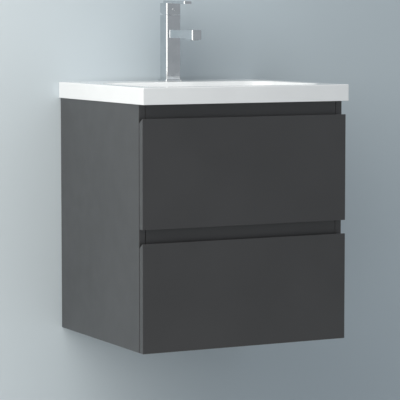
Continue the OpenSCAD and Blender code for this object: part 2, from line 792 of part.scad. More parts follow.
// Aerator insert with a ring of water holes
module tap_aerator() {
    color(steel) translate([0, outlet_y + outlet_l / 2, spout_low - outlet_drop - aerator_out])
        difference() {
            cylinder(h = aerator_h, d = aerator_d);
            translate([0, 0, -cut]) cylinder(h = cut + 2, d = aerator_d - 4);
            for (turn = [0 : 45 : 315]) rotate([0, 0, turn]) translate([aerator_d / 4, 0, -cut])
                cylinder(h = aerator_h + 2 * cut, d = 2.4, $fn = 24);
        }
}

module tap_cartridge() {
    color(cartridge_white) translate([0, tap_y, cartridge_z]) difference() {
        cylinder(h = cartridge_h, d = cartridge_d);
        translate([0, 0, cartridge_h - shaft_l - 1]) cylinder(h = shaft_l + 1 + cut, r = shaft_d / 2 + run_fit);
    }
}

// Turning shaft of the cartridge, with the cross pin that the lever tilts on
module tap_shaft() {
    color(steel) translate([0, tap_y, 0]) union() {
        translate([0, 0, body_top - shaft_l])
            cylinder(h = shaft_l + shaft_top - body_top, d = shaft_d - shaft_neck);
        translate([0, 0, body_top - shaft_l]) cylinder(h = shaft_l - 1, d = shaft_d);
        translate([0, 0, pin_z]) rotate([0, 90, 0]) cylinder(h = pin_l, d = pin_d, center = true);
    }
}

// Square head and the plate on top of it in one, bevelled at the rear so that it can tilt
module tap_lever() {
    half = tap_w / 2;
    socket_x = shaft_d / 2 + gap;
    socket_y = shaft_d / 2 + 3;
    drop = half * tan(lever_tilt);
    color(chrome) translate([0, tap_y, 0]) difference() {
        union() {
            translate([0, 0, head_z]) linear_extrude(head_h) rounded_square(tap_w, tap_corner);
            translate([0, half - lever_set, head_z + head_h - gap]) rotate([lever_fall, 0, 0])
                tongue(lever_w, tap_corner, lever_set - tap_w - lever_reach, 0, 0, lever_t);
        }
        translate([-half - cut, 0, 0]) rotate([90, 0, 90]) linear_extrude(tap_w + 2 * cut) polygon([
            [-2, head_z - cut], [-2, head_z], [0, head_z + gap],
            [half, head_z + gap + drop], [half + cut, head_z + gap + drop], [half + cut, head_z - cut]]);
        block([-socket_x, -socket_y, head_z - cut], [socket_x, socket_y, pin_z + socket_y]);
        translate([0, 0, pin_z]) rotate([0, 90, 0])
            cylinder(h = pin_l + 2 * gap, r = pin_d / 2 + run_fit, center = true);
        translate([0, -half - cut, index_z]) rotate([-90, 0, 0]) cylinder(h = cut + index_in, d = index_d);
    }
}

// Plain domed button that covers the lever's grub screw
module tap_index() {
    color(chrome) translate([0, tap_y - tap_w / 2 - index_out, index_z]) rotate([-90, 0, 0])
        cylinder(h = index_out + index_in, d = index_d - 2 * run_fit);
}

module tap_stud() {
    color(brass) translate([0, stud_y, rim_z - shank_l - stud_l])
        cylinder(h = stud_l + stud_in, d = stud_d);
}

// Two supply pipes: a threaded end in the body and a plain end for a compression fitting
module supply_pipes() {
    color(brass) for (x = [-supply_x, supply_x]) translate([x, supply_y, supply_z]) difference() {
        union() {
            cylinder(h = supply_end, d = supply_d);
            cylinder(h = supply_reach - shank_l, d = supply_d - 2 * supply_neck);
            translate([0, 0, supply_reach - shank_l]) cylinder(h = supply_in, d = supply_d);
        }
        translate([0, 0, -cut])
            cylinder(h = supply_reach + supply_in + cut, d = supply_d - 2 * supply_neck - 2 * supply_wall);
    }
}

// Horseshoe washer under the deck, open to the front so that it slips past the supply pipes
module tap_washer() {
    color(steel) translate([0, tap_y, deck_z - washer_t]) difference() {
        cylinder(h = washer_t, d = washer_d);
        block([-supply_x - supply_room, -washer_d, -cut],
            [supply_x + supply_room, 3, washer_t + cut]);
        translate([0, stud_y - tap_y, -cut]) cylinder(h = washer_t + 2 * cut, r = stud_d / 2 + gap);
    }
}

module tap_nut() {
    color(brass) translate([0, stud_y, deck_z - washer_t - stud_nut_h]) difference() {
        cylinder(h = stud_nut_h, d = stud_d * 1.9, $fn = 6);
        translate([0, 0, -cut]) cylinder(h = stud_nut_h + 2 * cut, r = stud_d / 2 + stud_play);
    }
}

side_panel("left");  // side_panel_left
side_panel("right");  // side_panel_right
bottom_panel();
top_rear_rail();
bottom_rear_rail();
grip_rail(z_top - grip_gap - rail_dip, z_top);  // upper_grip_rail
grip_rail(upper_front_z - grip_gap - rail_dip, upper_front_z + rail_lap);  // middle_grip_rail
carcass_dowels();
hanger_housing("left");  // hanger_housing_left
hanger_housing("right");  // hanger_housing_right
hanger_hook("left");  // hanger_hook_left
hanger_hook("right");  // hanger_hook_right
hanger_adjusters();
wall_plate("left");  // wall_plate_left
wall_plate("right");  // wall_plate_right
slide_member("left", "cabinet", upper_slide_z);  // upper_slide_cabinet_left
slide_member("right", "cabinet", upper_slide_z);  // upper_slide_cabinet_right
slide_member("left", "middle", upper_slide_z);  // upper_slide_middle_left
slide_member("right", "middle", upper_slide_z);  // upper_slide_middle_right
slide_member("left", "drawer", upper_slide_z);  // upper_slide_drawer_left
slide_member("right", "drawer", upper_slide_z);  // upper_slide_drawer_right
slide_member("left", "cabinet", lower_slide_z);  // lower_slide_cabinet_left
slide_member("right", "cabinet", lower_slide_z);  // lower_slide_cabinet_right
slide_member("left", "middle", lower_slide_z);  // lower_slide_middle_left
slide_member("right", "middle", lower_slide_z);  // lower_slide_middle_right
slide_member("left", "drawer", lower_slide_z);  // lower_slide_drawer_left
slide_member("right", "drawer", lower_slide_z);  // lower_slide_drawer_right
drawer_front(upper_front_z);  // upper_front
drawer_side("left", upper_box_z, upper_box_h);  // upper_box_left
drawer_side("right", upper_box_z, upper_box_h);  // upper_box_right
upper_box_floor();
upper_back("left");  // upper_back_left
upper_back("right");  // upper_back_right
pipe_cutout();
brackets(upper_box_z + box_floor_t + bracket_lift);  // upper_brackets
bumpers(upper_front_z);  // upper_bumpers
drawer_front(lower_front_z);  // lower_front
drawer_side("left", lower_box_z, lower_box_h);  // lower_box_left
drawer_side("right", lower_box_z, lower_box_h);  // lower_box_right
lower_box_floor();
lower_box_back();
brackets(lower_box_z + box_floor_t + bracket_lift);  // lower_brackets
bumpers(lower_front_z);  // lower_bumpers
basin();
overflow_trim();
waste_body();
waste_plug();
waste_seal();
waste_nut();
tap_base();
tap_body();
tap_aerator();
tap_cartridge();
tap_shaft();
tap_lever();
tap_index();
tap_stud();
tap_washer();
tap_nut();
supply_pipes();
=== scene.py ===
"""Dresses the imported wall-hung vanity unit: cabinet, drawers, slab basin and square tap."""

from __future__ import annotations

import logging
import math
from dataclasses import dataclass
from enum import Enum
from typing import Iterable, Sequence

import bmesh
import bpy
from mathutils import Matrix, Vector


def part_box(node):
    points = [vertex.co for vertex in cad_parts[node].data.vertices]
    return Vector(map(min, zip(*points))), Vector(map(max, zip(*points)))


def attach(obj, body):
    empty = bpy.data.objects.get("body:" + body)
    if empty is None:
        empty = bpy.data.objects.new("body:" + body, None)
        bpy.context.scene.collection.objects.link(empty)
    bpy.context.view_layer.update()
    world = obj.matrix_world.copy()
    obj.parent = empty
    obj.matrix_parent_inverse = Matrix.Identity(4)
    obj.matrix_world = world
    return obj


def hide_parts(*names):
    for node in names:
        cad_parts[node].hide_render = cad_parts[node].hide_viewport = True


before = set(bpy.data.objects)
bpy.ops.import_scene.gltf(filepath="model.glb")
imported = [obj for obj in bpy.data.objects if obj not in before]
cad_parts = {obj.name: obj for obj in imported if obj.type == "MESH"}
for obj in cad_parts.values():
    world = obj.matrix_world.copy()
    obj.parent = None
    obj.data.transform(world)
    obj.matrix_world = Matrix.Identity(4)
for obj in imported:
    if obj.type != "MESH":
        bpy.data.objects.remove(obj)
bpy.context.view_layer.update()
LOG = logging.getLogger("vanity")

Mesh = bmesh.types.BMesh
Vert = bmesh.types.BMVert
Edge = bmesh.types.BMEdge
Face = bmesh.types.BMFace
Tree = bpy.types.NodeTree
Socket = bpy.types.NodeSocket
Point = tuple[float, float, float]
Span = tuple[float, float]

UP: Point = (0.0, 0.0, 1.0)
DOWN: Point = (0.0, 0.0, -1.0)
# In metres: points nearer than the first are one, the others are the slack of a cut and of a level
MERGE = 1e-6
CUT_SLACK = 1e-7
LEVEL_SLACK = 1e-5
# In degrees: faces that differ by less are one plane, and an edge past the second is shaded sharp
FLAT = 0.5
SHARP = 35.0
# Cosines past which an edge counts as upright, and a face as facing a direction
UPRIGHT = 0.999
FACING = 0.99
# Most of a noise pattern's values lie between these two
NOISE_LOW = 0.35
NOISE_HIGH = 0.65


class Body(str, Enum):
    """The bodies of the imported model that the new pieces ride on."""

    CABINET = "cabinet"
    UPPER_DRAWER = "upper_drawer"
    LOWER_DRAWER = "lower_drawer"
    UPPER_MIDDLES = "upper_slide_middles"
    LOWER_MIDDLES = "lower_slide_middles"
    PLUG = "waste_plug"
    LEVER = "tap_lever"


class Side(Enum):
    """Left and right as seen from the room, by the sign of X."""

    LEFT = -1
    RIGHT = 1

    @property
    def word(self) -> str:
        """The ending of this side's node names."""
        return self.name.lower()


# Finishes


def linear(code: str) -> tuple[float, float, float, float]:
    """Turns an sRGB hex colour into linear RGBA.

    Args:
        code: The colour, such as "#3d3e40".

    Returns:
        Red, green, blue and an alpha of 1.
    """
    parts = [int(code[i : i + 2], 16) / 255 for i in (1, 3, 5)]
    red, green, blue = (c / 12.92 if c <= 0.04045 else ((c + 0.055) / 1.055) ** 2.4 for c in parts)
    return red, green, blue, 1.0


def add_node(
    tree: Tree,
    kind: str,
    settings: dict[str | int, object] | None = None,
    links: dict[str | int, Socket] | None = None,
) -> bpy.types.Node:
    """Adds one node with its settings and links.

    Args:
        tree: The node tree that it goes in.
        kind: The node's type name.
        settings: Properties of the node, or values of its input sockets.
        links: Output sockets that feed its input sockets.

    Returns:
        The new node.
    """
    node = tree.nodes.new(kind)
    for key, value in (settings or {}).items():
        if isinstance(key, str) and hasattr(node, key):
            setattr(node, key, value)
        else:
            node.inputs[key].default_value = value
    for key, source in (links or {}).items():
        tree.links.new(source, node.inputs[key])
    return node


@dataclass(frozen=True)
class Pattern:
    """Noise with blotches of a real width in metres, drawn out along an axis of small scale."""

    width: float
    detail: float = 2.0
    scale: Point = (1.0, 1.0, 1.0)

    def noise(self, tree: Tree, place: Socket) -> Socket:
        """Lays the pattern on a surface.

        Args:
            tree: The material's node tree.
            place: Object coordinates, in metres.

        Returns:
            The pattern's value, from 0 to 1.
        """
        drawn = add_node(tree, "ShaderNodeMapping", {"Scale": self.scale}, {"Vector": place})
        values = {"Scale": 1 / self.width, "Detail": self.detail}
        return add_node(tree, "ShaderNodeTexNoise", values, {"Vector": drawn.outputs[0]}).outputs[0]

    def drift(self, tree: Tree, place: Socket, low: float, high: float) -> Socket:
        """Returns a value that drifts with the pattern between a least and a most."""
        values = {"From Min": NOISE_LOW, "From Max": NOISE_HIGH, "To Min": low, "To Max": high}
        return add_node(tree, "ShaderNodeMapRange", values, {"Value": self.noise(tree, place)}).outputs[0]


@dataclass(frozen=True)
class Relief(Pattern):
    """A pattern that raises the surface, by a depth in metres."""

    depth: float = 0.0
    strength: float = 0.5


@dataclass(frozen=True)
class Sheen(Pattern):
    """A pattern that shifts the roughness, by between two amounts."""

    shift: Span = (0.0, 0.0)


@dataclass(frozen=True)
class Finish:
    """A finish: its name, the record's slot it belongs to, its shader values and its patterns.

    The cloud moves the colour between the two tones.
    """

    name: str
    slot: str
    colour: str
    roughness: float
    tones: tuple[str, str]
    cloud: Pattern
    relief: Relief
    sheen: Sheen
    metallic: float = 0.0
    coat: float = 0.0
    coat_roughness: float = 0.03

    def material(self) -> bpy.types.Material:
        """Finds this finish's material, or makes it on first use.

        Returns:
            The material.
        """
        known = bpy.data.materials.get(self.name)
        if known is not None:
            return known
        made = bpy.data.materials.new(self.name)
        made.use_nodes = True
        tree = made.node_tree
        shader = tree.nodes["Principled BSDF"]
        values = {
            "Base Color": linear(self.colour),
            "Roughness": self.roughness,
            "Metallic": self.metallic,
            "Coat Weight": self.coat,
            "Coat Roughness": self.coat_roughness,
        }
        for key, value in values.items():
            shader.inputs[key].default_value = value
        place = add_node(tree, "ShaderNodeTexCoord").outputs["Object"]
        tones = {"data_type": "RGBA", 6: linear(self.tones[0]), 7: linear(self.tones[1])}
        tint = add_node(tree, "ShaderNodeMix", tones, {0: self.cloud.drift(tree, place, 0.0, 1.0)})
        least, most = (self.roughness + part for part in self.sheen.shift)
        rise = {"Strength": self.relief.strength, "Distance": self.relief.depth}
        bump = add_node(tree, "ShaderNodeBump", rise, {"Height": self.relief.noise(tree, place)})
        sources = {
            "Base Color": tint.outputs[2],
            "Roughness": self.sheen.drift(tree, place, least, most),
            "Normal": bump.outputs["Normal"],
        }
        for key, source in sources.items():
            tree.links.new(source, shader.inputs[key])
        return made


@dataclass(frozen=True)
class SprayedLacquer(Finish):
    """Two-pack polyurethane lacquer sprayed on fibreboard: orange peel and a slight drift of sheen."""

    cloud: Pattern = Pattern(0.16)
    relief: Relief = Relief(0.0026, 1.0, depth=0.00003, strength=0.35)
    sheen: Sheen = Sheen(0.05, shift=(-0.03, 0.04))


@dataclass(frozen=True)
class Melamine(Finish):
    """Melamine paper pressed on chipboard with a textured plate.

    Its pressed pores run from front to back, a little coarser than real so that they show.
    """

    cloud: Pattern = Pattern(0.012, 4.0, (1.0, 0.22, 1.0))
    relief: Relief = Relief(0.0009, 3.0, (1.0, 0.22, 1.0), depth=0.00008)
    sheen: Sheen = Sheen(0.02, shift=(-0.05, 0.06))


@dataclass(frozen=True)
class GelCoat(Finish):
    """Gel coat on cast mineral marble: a hand-polished mould's waviness and a trace of cloud."""

    cloud: Pattern = Pattern(0.07, 4.0)
    relief: Relief = Relief(0.03, 1.0, depth=0.00006, strength=0.25)
    sheen: Sheen = Sheen(0.04, shift=(-0.02, 0.03))


@dataclass(frozen=True)
class PlatedChrome(Finish):
    """Bright chrome plate on polished brass: faint polishing waves and the dull bloom of water."""

    cloud: Pattern = Pattern(0.03)
    relief: Relief = Relief(0.009, 0.0, depth=0.00002, strength=0.12)
    sheen: Sheen = Sheen(0.011, 5.0, shift=(0.0, 0.05))


@dataclass(frozen=True)
class ZincPlate(Finish):
    """Cold-rolled sheet steel with bright zinc plate: rolling lines and a cloudy bloom."""

    cloud: Pattern = Pattern(0.018, 3.0)
    relief: Relief = Relief(0.0008, 2.0, (1.0, 0.03, 1.0), depth=0.00003, strength=0.4)
    sheen: Sheen = Sheen(0.006, 4.0, shift=(-0.08, 0.1))


@dataclass(frozen=True)
class Moulded(Finish):
    """Injection-moulded plastic or rubber: the grain of a spark-eroded mould, uneven in sheen."""

    cloud: Pattern = Pattern(0.012)
    relief: Relief = Relief(0.0007, depth=0.00006)
    sheen: Sheen = Sheen(0.008, shift=(-0.05, 0.08))


@dataclass(frozen=True)
class PlanedBeech(Finish):
    """Steamed beech, turned and fluted: short dark flecks along the grain, of one even sheen."""

    cloud: Pattern = Pattern(0.0012, 4.0, (0.12, 1.0, 1.0))
    relief: Relief = Relief(0.0012, 4.0, (0.12, 1.0, 1.0), depth=0.00008, strength=0.4)
    sheen: Sheen = Sheen(0.0012)


@dataclass(frozen=True)
class TurnedMetal(Finish):
    """Metal turned on a lathe or drawn through a die: rings round Z and a light tarnish."""

    cloud: Pattern = Pattern(0.009, 4.0)
    relief: Relief = Relief(0.0006, 1.0, (0.05, 0.05, 1.0), depth=0.00004, strength=0.4)
    sheen: Sheen = Sheen(0.004, 3.0, shift=(-0.05, 0.12))


# Satin lacquer: near-black grey whose sheen lifts it where the wall reflects in it
LACQUER = SprayedLacquer(
    "Satin anthracite lacquer",
    "anthracite_lacquer",
    "#38383a",
    0.38,
    ("#363638", "#3a3a3c"),
    coat=0.5,
    coat_roughness=0.34,
)
# Melamine-faced chipboard: dull and slightly pored
CARCASS = Melamine("Anthracite melamine board", "carcass_board", "#55575a", 0.5, ("#515356", "#595b5e"))
DRAWER = Melamine("Light grey melamine board", "drawer_board", "#a4a6a8", 0.45, ("#9fa1a3", "#a9abad"))
# Cast mineral marble under gel coat: bright white with a clear gloss
STONE = GelCoat("White gel-coated cast stone", "cast_stone", "#f3f6f9", 0.1, ("#f2f5f8", "#f5f8fb"), coat=0.3)
# Chrome: mirrors the wall and the room
CHROME = PlatedChrome("Bright chrome plate", "chrome", "#d4d7da", 0.03, ("#d0d4d7", "#d8dbde"), metallic=1.0)
# Zinc-plated steel: bluish white and half dull
ZINC = ZincPlate(
    "Bright zinc-plated steel", "zinc_steel", "#b3b7bb", 0.34, ("#a7acb1", "#bfc3c6"), metallic=1.0
)
# Polypropylene: black and softly grained
PLASTIC = Moulded("Black moulded polypropylene", "dark_plastic", "#262729", 0.5, ("#222325", "#2b2c2e"))
# Elastomer: black and dull
RUBBER = Moulded("Black moulded rubber", "bumper_rubber", "#1b1b1c", 0.75, ("#191919", "#212122"))
# Acetal: warm white, half gloss
ACETAL = Moulded("Cream moulded acetal", "cartridge_plastic", "#e5dfd0", 0.4, ("#e0dac9", "#eae5d8"))
# Beech: warm, dull and flecked
BEECH = PlanedBeech("Beech dowel", "beech", "#c9a273", 0.6, ("#b98f5f", "#d6b184"))
# Brass: yellow, with the fine rings of the lathe
BRASS = TurnedMetal("Turned brass", "brass", "#b8984f", 0.28, ("#a98a4c", "#c7a763"), metallic=1.0)
# Copper alloy pipe: warm and dull
PIPE = TurnedMetal("Drawn pipe", "copper_pipe", "#b98d63", 0.36, ("#a67c55", "#c79b70"), metallic=1.0)
# Stainless steel: grey and finely turned
STAINLESS = TurnedMetal(
    "Turned stainless steel", "stainless_insert", "#a9abad", 0.25, ("#9fa1a3", "#b4b6b8"), metallic=1.0
)


# Mesh helpers


def placed(point: Sequence[float], degrees: float = 0.0, axis: str = "Z") -> Matrix:
    """Returns the matrix that turns about an axis and then moves to a point."""
    return Matrix.Translation(point) @ Matrix.Rotation(math.radians(degrees), 4, axis)


def middle(node: str) -> Vector:
    """Returns the middle of a CAD node's box."""
    low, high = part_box(node)
    return (low + high) / 2


def of_kind(geom: Iterable[object], kind: type) -> list:
    """Returns the vertices, edges or faces among the elements of a mesh."""
    return [element for element in geom if isinstance(element, kind)]


def cuboid(low: Sequence[float], high: Sequence[float]) -> Mesh:
    """Makes a box.

    Args:
        low: Its lower corner.
        high: Its upper corner.

    Returns:
        A new mesh.
    """
    bm = bmesh.new()
    centre, size = (Vector(low) + Vector(high)) / 2, Vector(high) - Vector(low)
    bmesh.ops.create_cube(bm, size=1.0, matrix=Matrix.LocRotScale(centre, None, size))
    return bm


def add_ring(bm: Mesh, radius: float, place: Matrix, steps: int = 48) -> list[Edge]:
    """Adds an open circle, with as many edges as steps, and returns its edges."""
    made = bmesh.ops.create_circle(bm, cap_ends=False, segments=steps, radius=radius, matrix=place)
    return list({e for v in made["verts"] for e in v.link_edges})


def round_edges(bm: Mesh, edges: Iterable[Edge], radius: float, steps: int = 3) -> None:
    """Rounds edges with a circular bevel.

    Args:
        bm: The mesh.
        edges: The edges.
        radius: The radius of the rounding.
        steps: The number of steps of the rounding.
    """
    bmesh.ops.bevel(
        bm,
        geom=list(edges),
        offset=radius,
        offset_type="OFFSET",
        segments=steps,
        profile=0.5,
        affect="EDGES",
        clamp_overlap=True,
        material=-1,
    )


def upright_edges(bm: Mesh) -> list[Edge]:
    """Returns the edges that run along Z."""
    return [e for e in bm.edges if abs((e.verts[0].co - e.verts[1].co).normalized().z) > UPRIGHT]


def sharp_edges(bm: Mesh, angle: float = 40.0) -> list[Edge]:
    """Returns the edges whose two faces meet at more than an angle in degrees."""
    limit = math.radians(angle)
    return [e for e in bm.edges if len(e.link_faces) == 2 and e.calc_face_angle(0.0) > limit]


def open_edges(bm: Mesh, height: float) -> list[Edge]:
    """Returns the edges at a height that have a face on one side only."""
    rims = [e for e in bm.edges if len(e.link_faces) == 1]
    return [e for e in rims if all(abs(v.co.z - height) < LEVEL_SLACK for v in e.verts)]


def face_at(bm: Mesh, way: Sequence[float]) -> Face:
    """Finds the face that lies furthest towards a direction and faces it.

    Args:
        bm: The mesh.
        way: The direction.

    Returns:
        The face.
    """
    way = Vector(way)
    bm.normal_update()
    facing = [f for f in bm.faces if f.normal.dot(way) > FACING]
    return max(facing, key=lambda f: f.calc_center_median().dot(way))


def face_near(bm: Mesh, point: Sequence[float]) -> Face:
    """Returns the face whose middle is nearest to a point."""
    return min(bm.faces, key=lambda f: (f.calc_center_median() - Vector(point)).length)


def open_face(bm: Mesh, face: Face) -> list[Edge]:
    """Takes a face out and leaves its edges.

    Args:
        bm: The mesh.
        face: The face.

    Returns:
        The edges round the opening.
    """
    outline = list(face.edges)
    bmesh.ops.delete(bm, geom=[face], context="FACES_ONLY")
    return outline


def push_face(bm: Mesh, face: Face, way: Sequence[float]) -> None:
    """Moves a face, and closes the sides behind it.

    Args:
        bm: The mesh.
        face: The face.
        way: How far it is moved.
    """
    drawn = bmesh.ops.extrude_face_region(bm, geom=[face])["geom"]
    open_face(bm, face)
    bmesh.ops.translate(bm, verts=of_kind(drawn, Vert), vec=way)


def draw_out(
    bm: Mesh, edges: Sequence[Edge], way: Sequence[float] = (0.0, 0.0, 0.0), grow: Span = (1.0, 1.0)
) -> list[Edge]:
    """Draws a line or a ring of edges out into faces.

    Args:
        bm: The mesh.
        edges: The line or the ring.
        way: How far it is moved.
        grow: Factors by which it is widened along X and Y about its centre.

    Returns:
        The edges at the far end.
    """
    drawn = bmesh.ops.extrude_edge_only(bm, edges=edges)["geom"]
    verts = of_kind(drawn, Vert)
    centre = sum((v.co for v in verts), Vector()) / len(verts)
    for vert in verts:
        spread = Vector((grow[0] - 1.0, grow[1] - 1.0, 0.0)) * (vert.co - centre)
        vert.co += spread + Vector(way)
    bm.normal_update()
    far = set(verts)
    return [e for e in of_kind(drawn, Edge) if far.issuperset(e.verts)]


def fill(bm: Mesh, edges: Sequence[Edge]) -> None:
    """Fills the flat area between rings of edges."""
    bmesh.ops.triangle_fill(bm, use_beauty=True, edges=edges)


def slice_at(
    bm: Mesh, point: Sequence[float], normal: Sequence[float], drop: bool = False, faces: Iterable[Face] = ()
) -> list[Edge]:
    """Cuts a mesh by a plane.

    Args:
        bm: The mesh.
        point: A point on the plane.
        normal: The plane's normal.
        drop: Whether what lies beyond the plane, along its normal, is dropped.
        faces: The faces that are cut, where the whole mesh isn't.

    Returns:
        The edges of the cut.
    """
    chosen = list({g for f in faces for g in (f, *f.edges, *f.verts)})
    geom = chosen or [*bm.verts, *bm.edges, *bm.faces]
    way = Vector(normal).normalized()
    cut = bmesh.ops.bisect_plane(
        bm, geom=geom, dist=CUT_SLACK, plane_co=point, plane_no=way, clear_outer=drop
    )
    return of_kind(cut["geom_cut"], Edge)


def join_flats(bm: Mesh) -> None:
    """Joins the faces that lie in one plane."""
    bmesh.ops.dissolve_limit(bm, angle_limit=math.radians(FLAT), verts=bm.verts, edges=bm.edges)


def draw_line(bm: Mesh, points: Iterable[Sequence[float]]) -> list[Edge]:
    """Adds a line of edges through points and returns it."""
    verts = [bm.verts.new(point) for point in points]
    return [bm.edges.new(pair) for pair in zip(verts, verts[1:])]


def spin_profile(profile: Iterable[Span], steps: int = 48) -> Mesh:
    """Spins a profile round Z.

    Args:
        profile: Points as radius and height.
        steps: The number of steps of the turn.

    Returns:
        A new mesh, with its axis at the origin.
    """
    bm = bmesh.new()
    draw_line(bm, [(radius, 0.0, height) for radius, height in profile])
    geom = [*bm.verts, *bm.edges]
    bmesh.ops.spin(bm, geom=geom, angle=math.tau, steps=steps, axis=UP, cent=(0, 0, 0), use_merge=True)
    bmesh.ops.remove_doubles(bm, verts=bm.verts, dist=MERGE)
    bmesh.ops.recalc_face_normals(bm, faces=bm.faces)
    return bm


def join_mesh(into: Mesh, part: Mesh, place: Matrix | None = None) -> None:
    """Adds one mesh to another.

    Args:
        into: The mesh that grows.
        part: The mesh that is added, and freed.
        place: The matrix that the added mesh is moved by first.
    """
    if place is not None:
        part.transform(place)
    spare = bpy.data.meshes.new("spare")
    part.to_mesh(spare)
    part.free()
    into.from_mesh(spare)
    bpy.data.meshes.remove(spare)


def softened(node: str, radius: float, steps: int = 2) -> Mesh:
    """Copies a CAD node's mesh and rounds its sharp edges.

    Args:
        node: The CAD node.
        radius: The radius of the rounding.
        steps: The number of steps of the rounding.

    Returns:
        A new mesh in the node's place.
    """
    bm = bmesh.new()
    bm.from_mesh(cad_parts[node].data)
    bmesh.ops.remove_doubles(bm, verts=bm.verts, dist=MERGE)
    join_flats(bm)
    round_edges(bm, sharp_edges(bm), radius, steps)
    return bm


# Pieces


def make_piece(bm: Mesh, name: str, finish: Finish, body: Body, node: str) -> None:
    """Turns a mesh into a piece of the object.

    Args:
        bm: The mesh, which is freed.
        name: The piece's name.
        finish: The finish it wears.
        body: The body it rides on.
        node: The CAD node that it stands for.
    """
    bmesh.ops.remove_doubles(bm, verts=bm.verts, dist=MERGE)
    bmesh.ops.recalc_face_normals(bm, faces=bm.faces)
    mesh = bpy.data.meshes.new(name)
    bm.to_mesh(mesh)
    bm.free()
    mesh.polygons.foreach_set("use_smooth", [True] * len(mesh.polygons))
    mesh.set_sharp_from_angle(angle=math.radians(SHARP))
    mesh.materials.append(finish.material())
    piece = bpy.data.objects.new(name, mesh)
    bpy.context.scene.collection.objects.link(piece)
    normals = piece.modifiers.new("even_shading", "WEIGHTED_NORMAL")
    normals.keep_sharp = True
    normals.weight = 100
    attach(piece, body.value)
    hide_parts(node)
    LOG.info("%s: %d faces, %s", name, len(mesh.polygons), finish.name)


def soften_node(
    node: str, name: str, finish: Finish, radius: float, steps: int = 2, body: Body = Body.CABINET
) -> None:
    """Replaces a CAD node by a piece of its shape, with its sharp edges rounded in some steps."""
    make_piece(softened(node, radius, steps), name, finish, body, node)


def make_board(node: str, finish: Finish, radius: float, body: Body = Body.CABINET) -> None:
    """Replaces a plain board by one with rounded edges.

    Args:
        node: The CAD node.
        finish: The finish it wears.
        radius: The radius of its edges.
        body: The body it rides on.
    """
    bm = cuboid(*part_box(node))
    round_edges(bm, bm.edges, radius)
    make_piece(bm, f"{node}_board", finish, body, node)


def dress_node(node: str, finish: Finish) -> None:
    """Gives a CAD node, which keeps its shape, its finish.

    Args:
        node: The CAD node.
        finish: The finish.
    """
    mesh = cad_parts[node].data
    mesh.materials.clear()
    mesh.materials.append(finish.material())
    LOG.info("%s: CAD shape, %s", node, finish.name)


@dataclass(frozen=True)
class PanHead:
    """A screw's pan head with a cross, whose other sizes are shares of its radius and height."""

    radius: float
    height: float
    rim: float = 0.45
    shoulder: Span = (0.85, 0.85)
    crown: float = 0.5
    cross: Span = (0.55, 0.11)
    cross_depth: Span = (0.96, 1.02)
    steps: int = 20

    def mesh(self) -> Mesh:
        """Makes the head with its cross, standing on Z = 0.

        Returns:
            A new mesh.
        """
        shares = [(0, 0), (1, 0), (1, self.rim), self.shoulder, (self.crown, 1), (0, 1)]
        bm = spin_profile([(self.radius * out, self.height * up) for out, up in shares], self.steps)
        long, wide = (self.radius * share for share in self.cross)
        low, high = (self.height * share for share in self.cross_depth)
        for degrees in (0, 90):
            arm = cuboid((-long, -wide, low), (long, wide, high))
            join_mesh(bm, arm, placed((0, 0, 0), degrees))
        return bm


# Cabinet


@dataclass
class Carcass:
    """The boards that carry everything, in lacquer outside and melamine inside."""

    edge: float = 0.0009
    hidden_edge: float = 0.0005
    rail_edge: float = 0.0003

    def build(self) -> None:
        """Makes the side panels, the bottom and the rails."""
        for side in Side:
            make_board(f"side_panel_{side.word}", LACQUER, self.edge)
        for node in ("bottom_panel", "bottom_rear_rail"):
            make_board(node, CARCASS, self.hidden_edge)
        soften_node("top_rear_rail", "top_rear_rail_board", CARCASS, self.hidden_edge)
        for node in ("upper_grip_rail", "middle_grip_rail"):
            soften_node(node, f"{node}_board", LACQUER, self.rail_edge)
        dress_node("carcass_dowels", BEECH)


@dataclass
class WallHanging:
    """Plates on the wall, hooks and their housings."""

    sheet_edge: float = 0.0004
    housing_edge: float = 0.0012

    def build(self) -> None:
        """Makes both hangers."""
        for side in Side:
            for node in (f"wall_plate_{side.word}", f"hanger_hook_{side.word}"):
                soften_node(node, f"{node}_sheet", ZINC, self.sheet_edge)
            node = f"hanger_housing_{side.word}"
            soften_node(node, f"{node}_shell", PLASTIC, self.housing_edge, steps=3)
        dress_node("hanger_adjusters", ZINC)


# Drawers


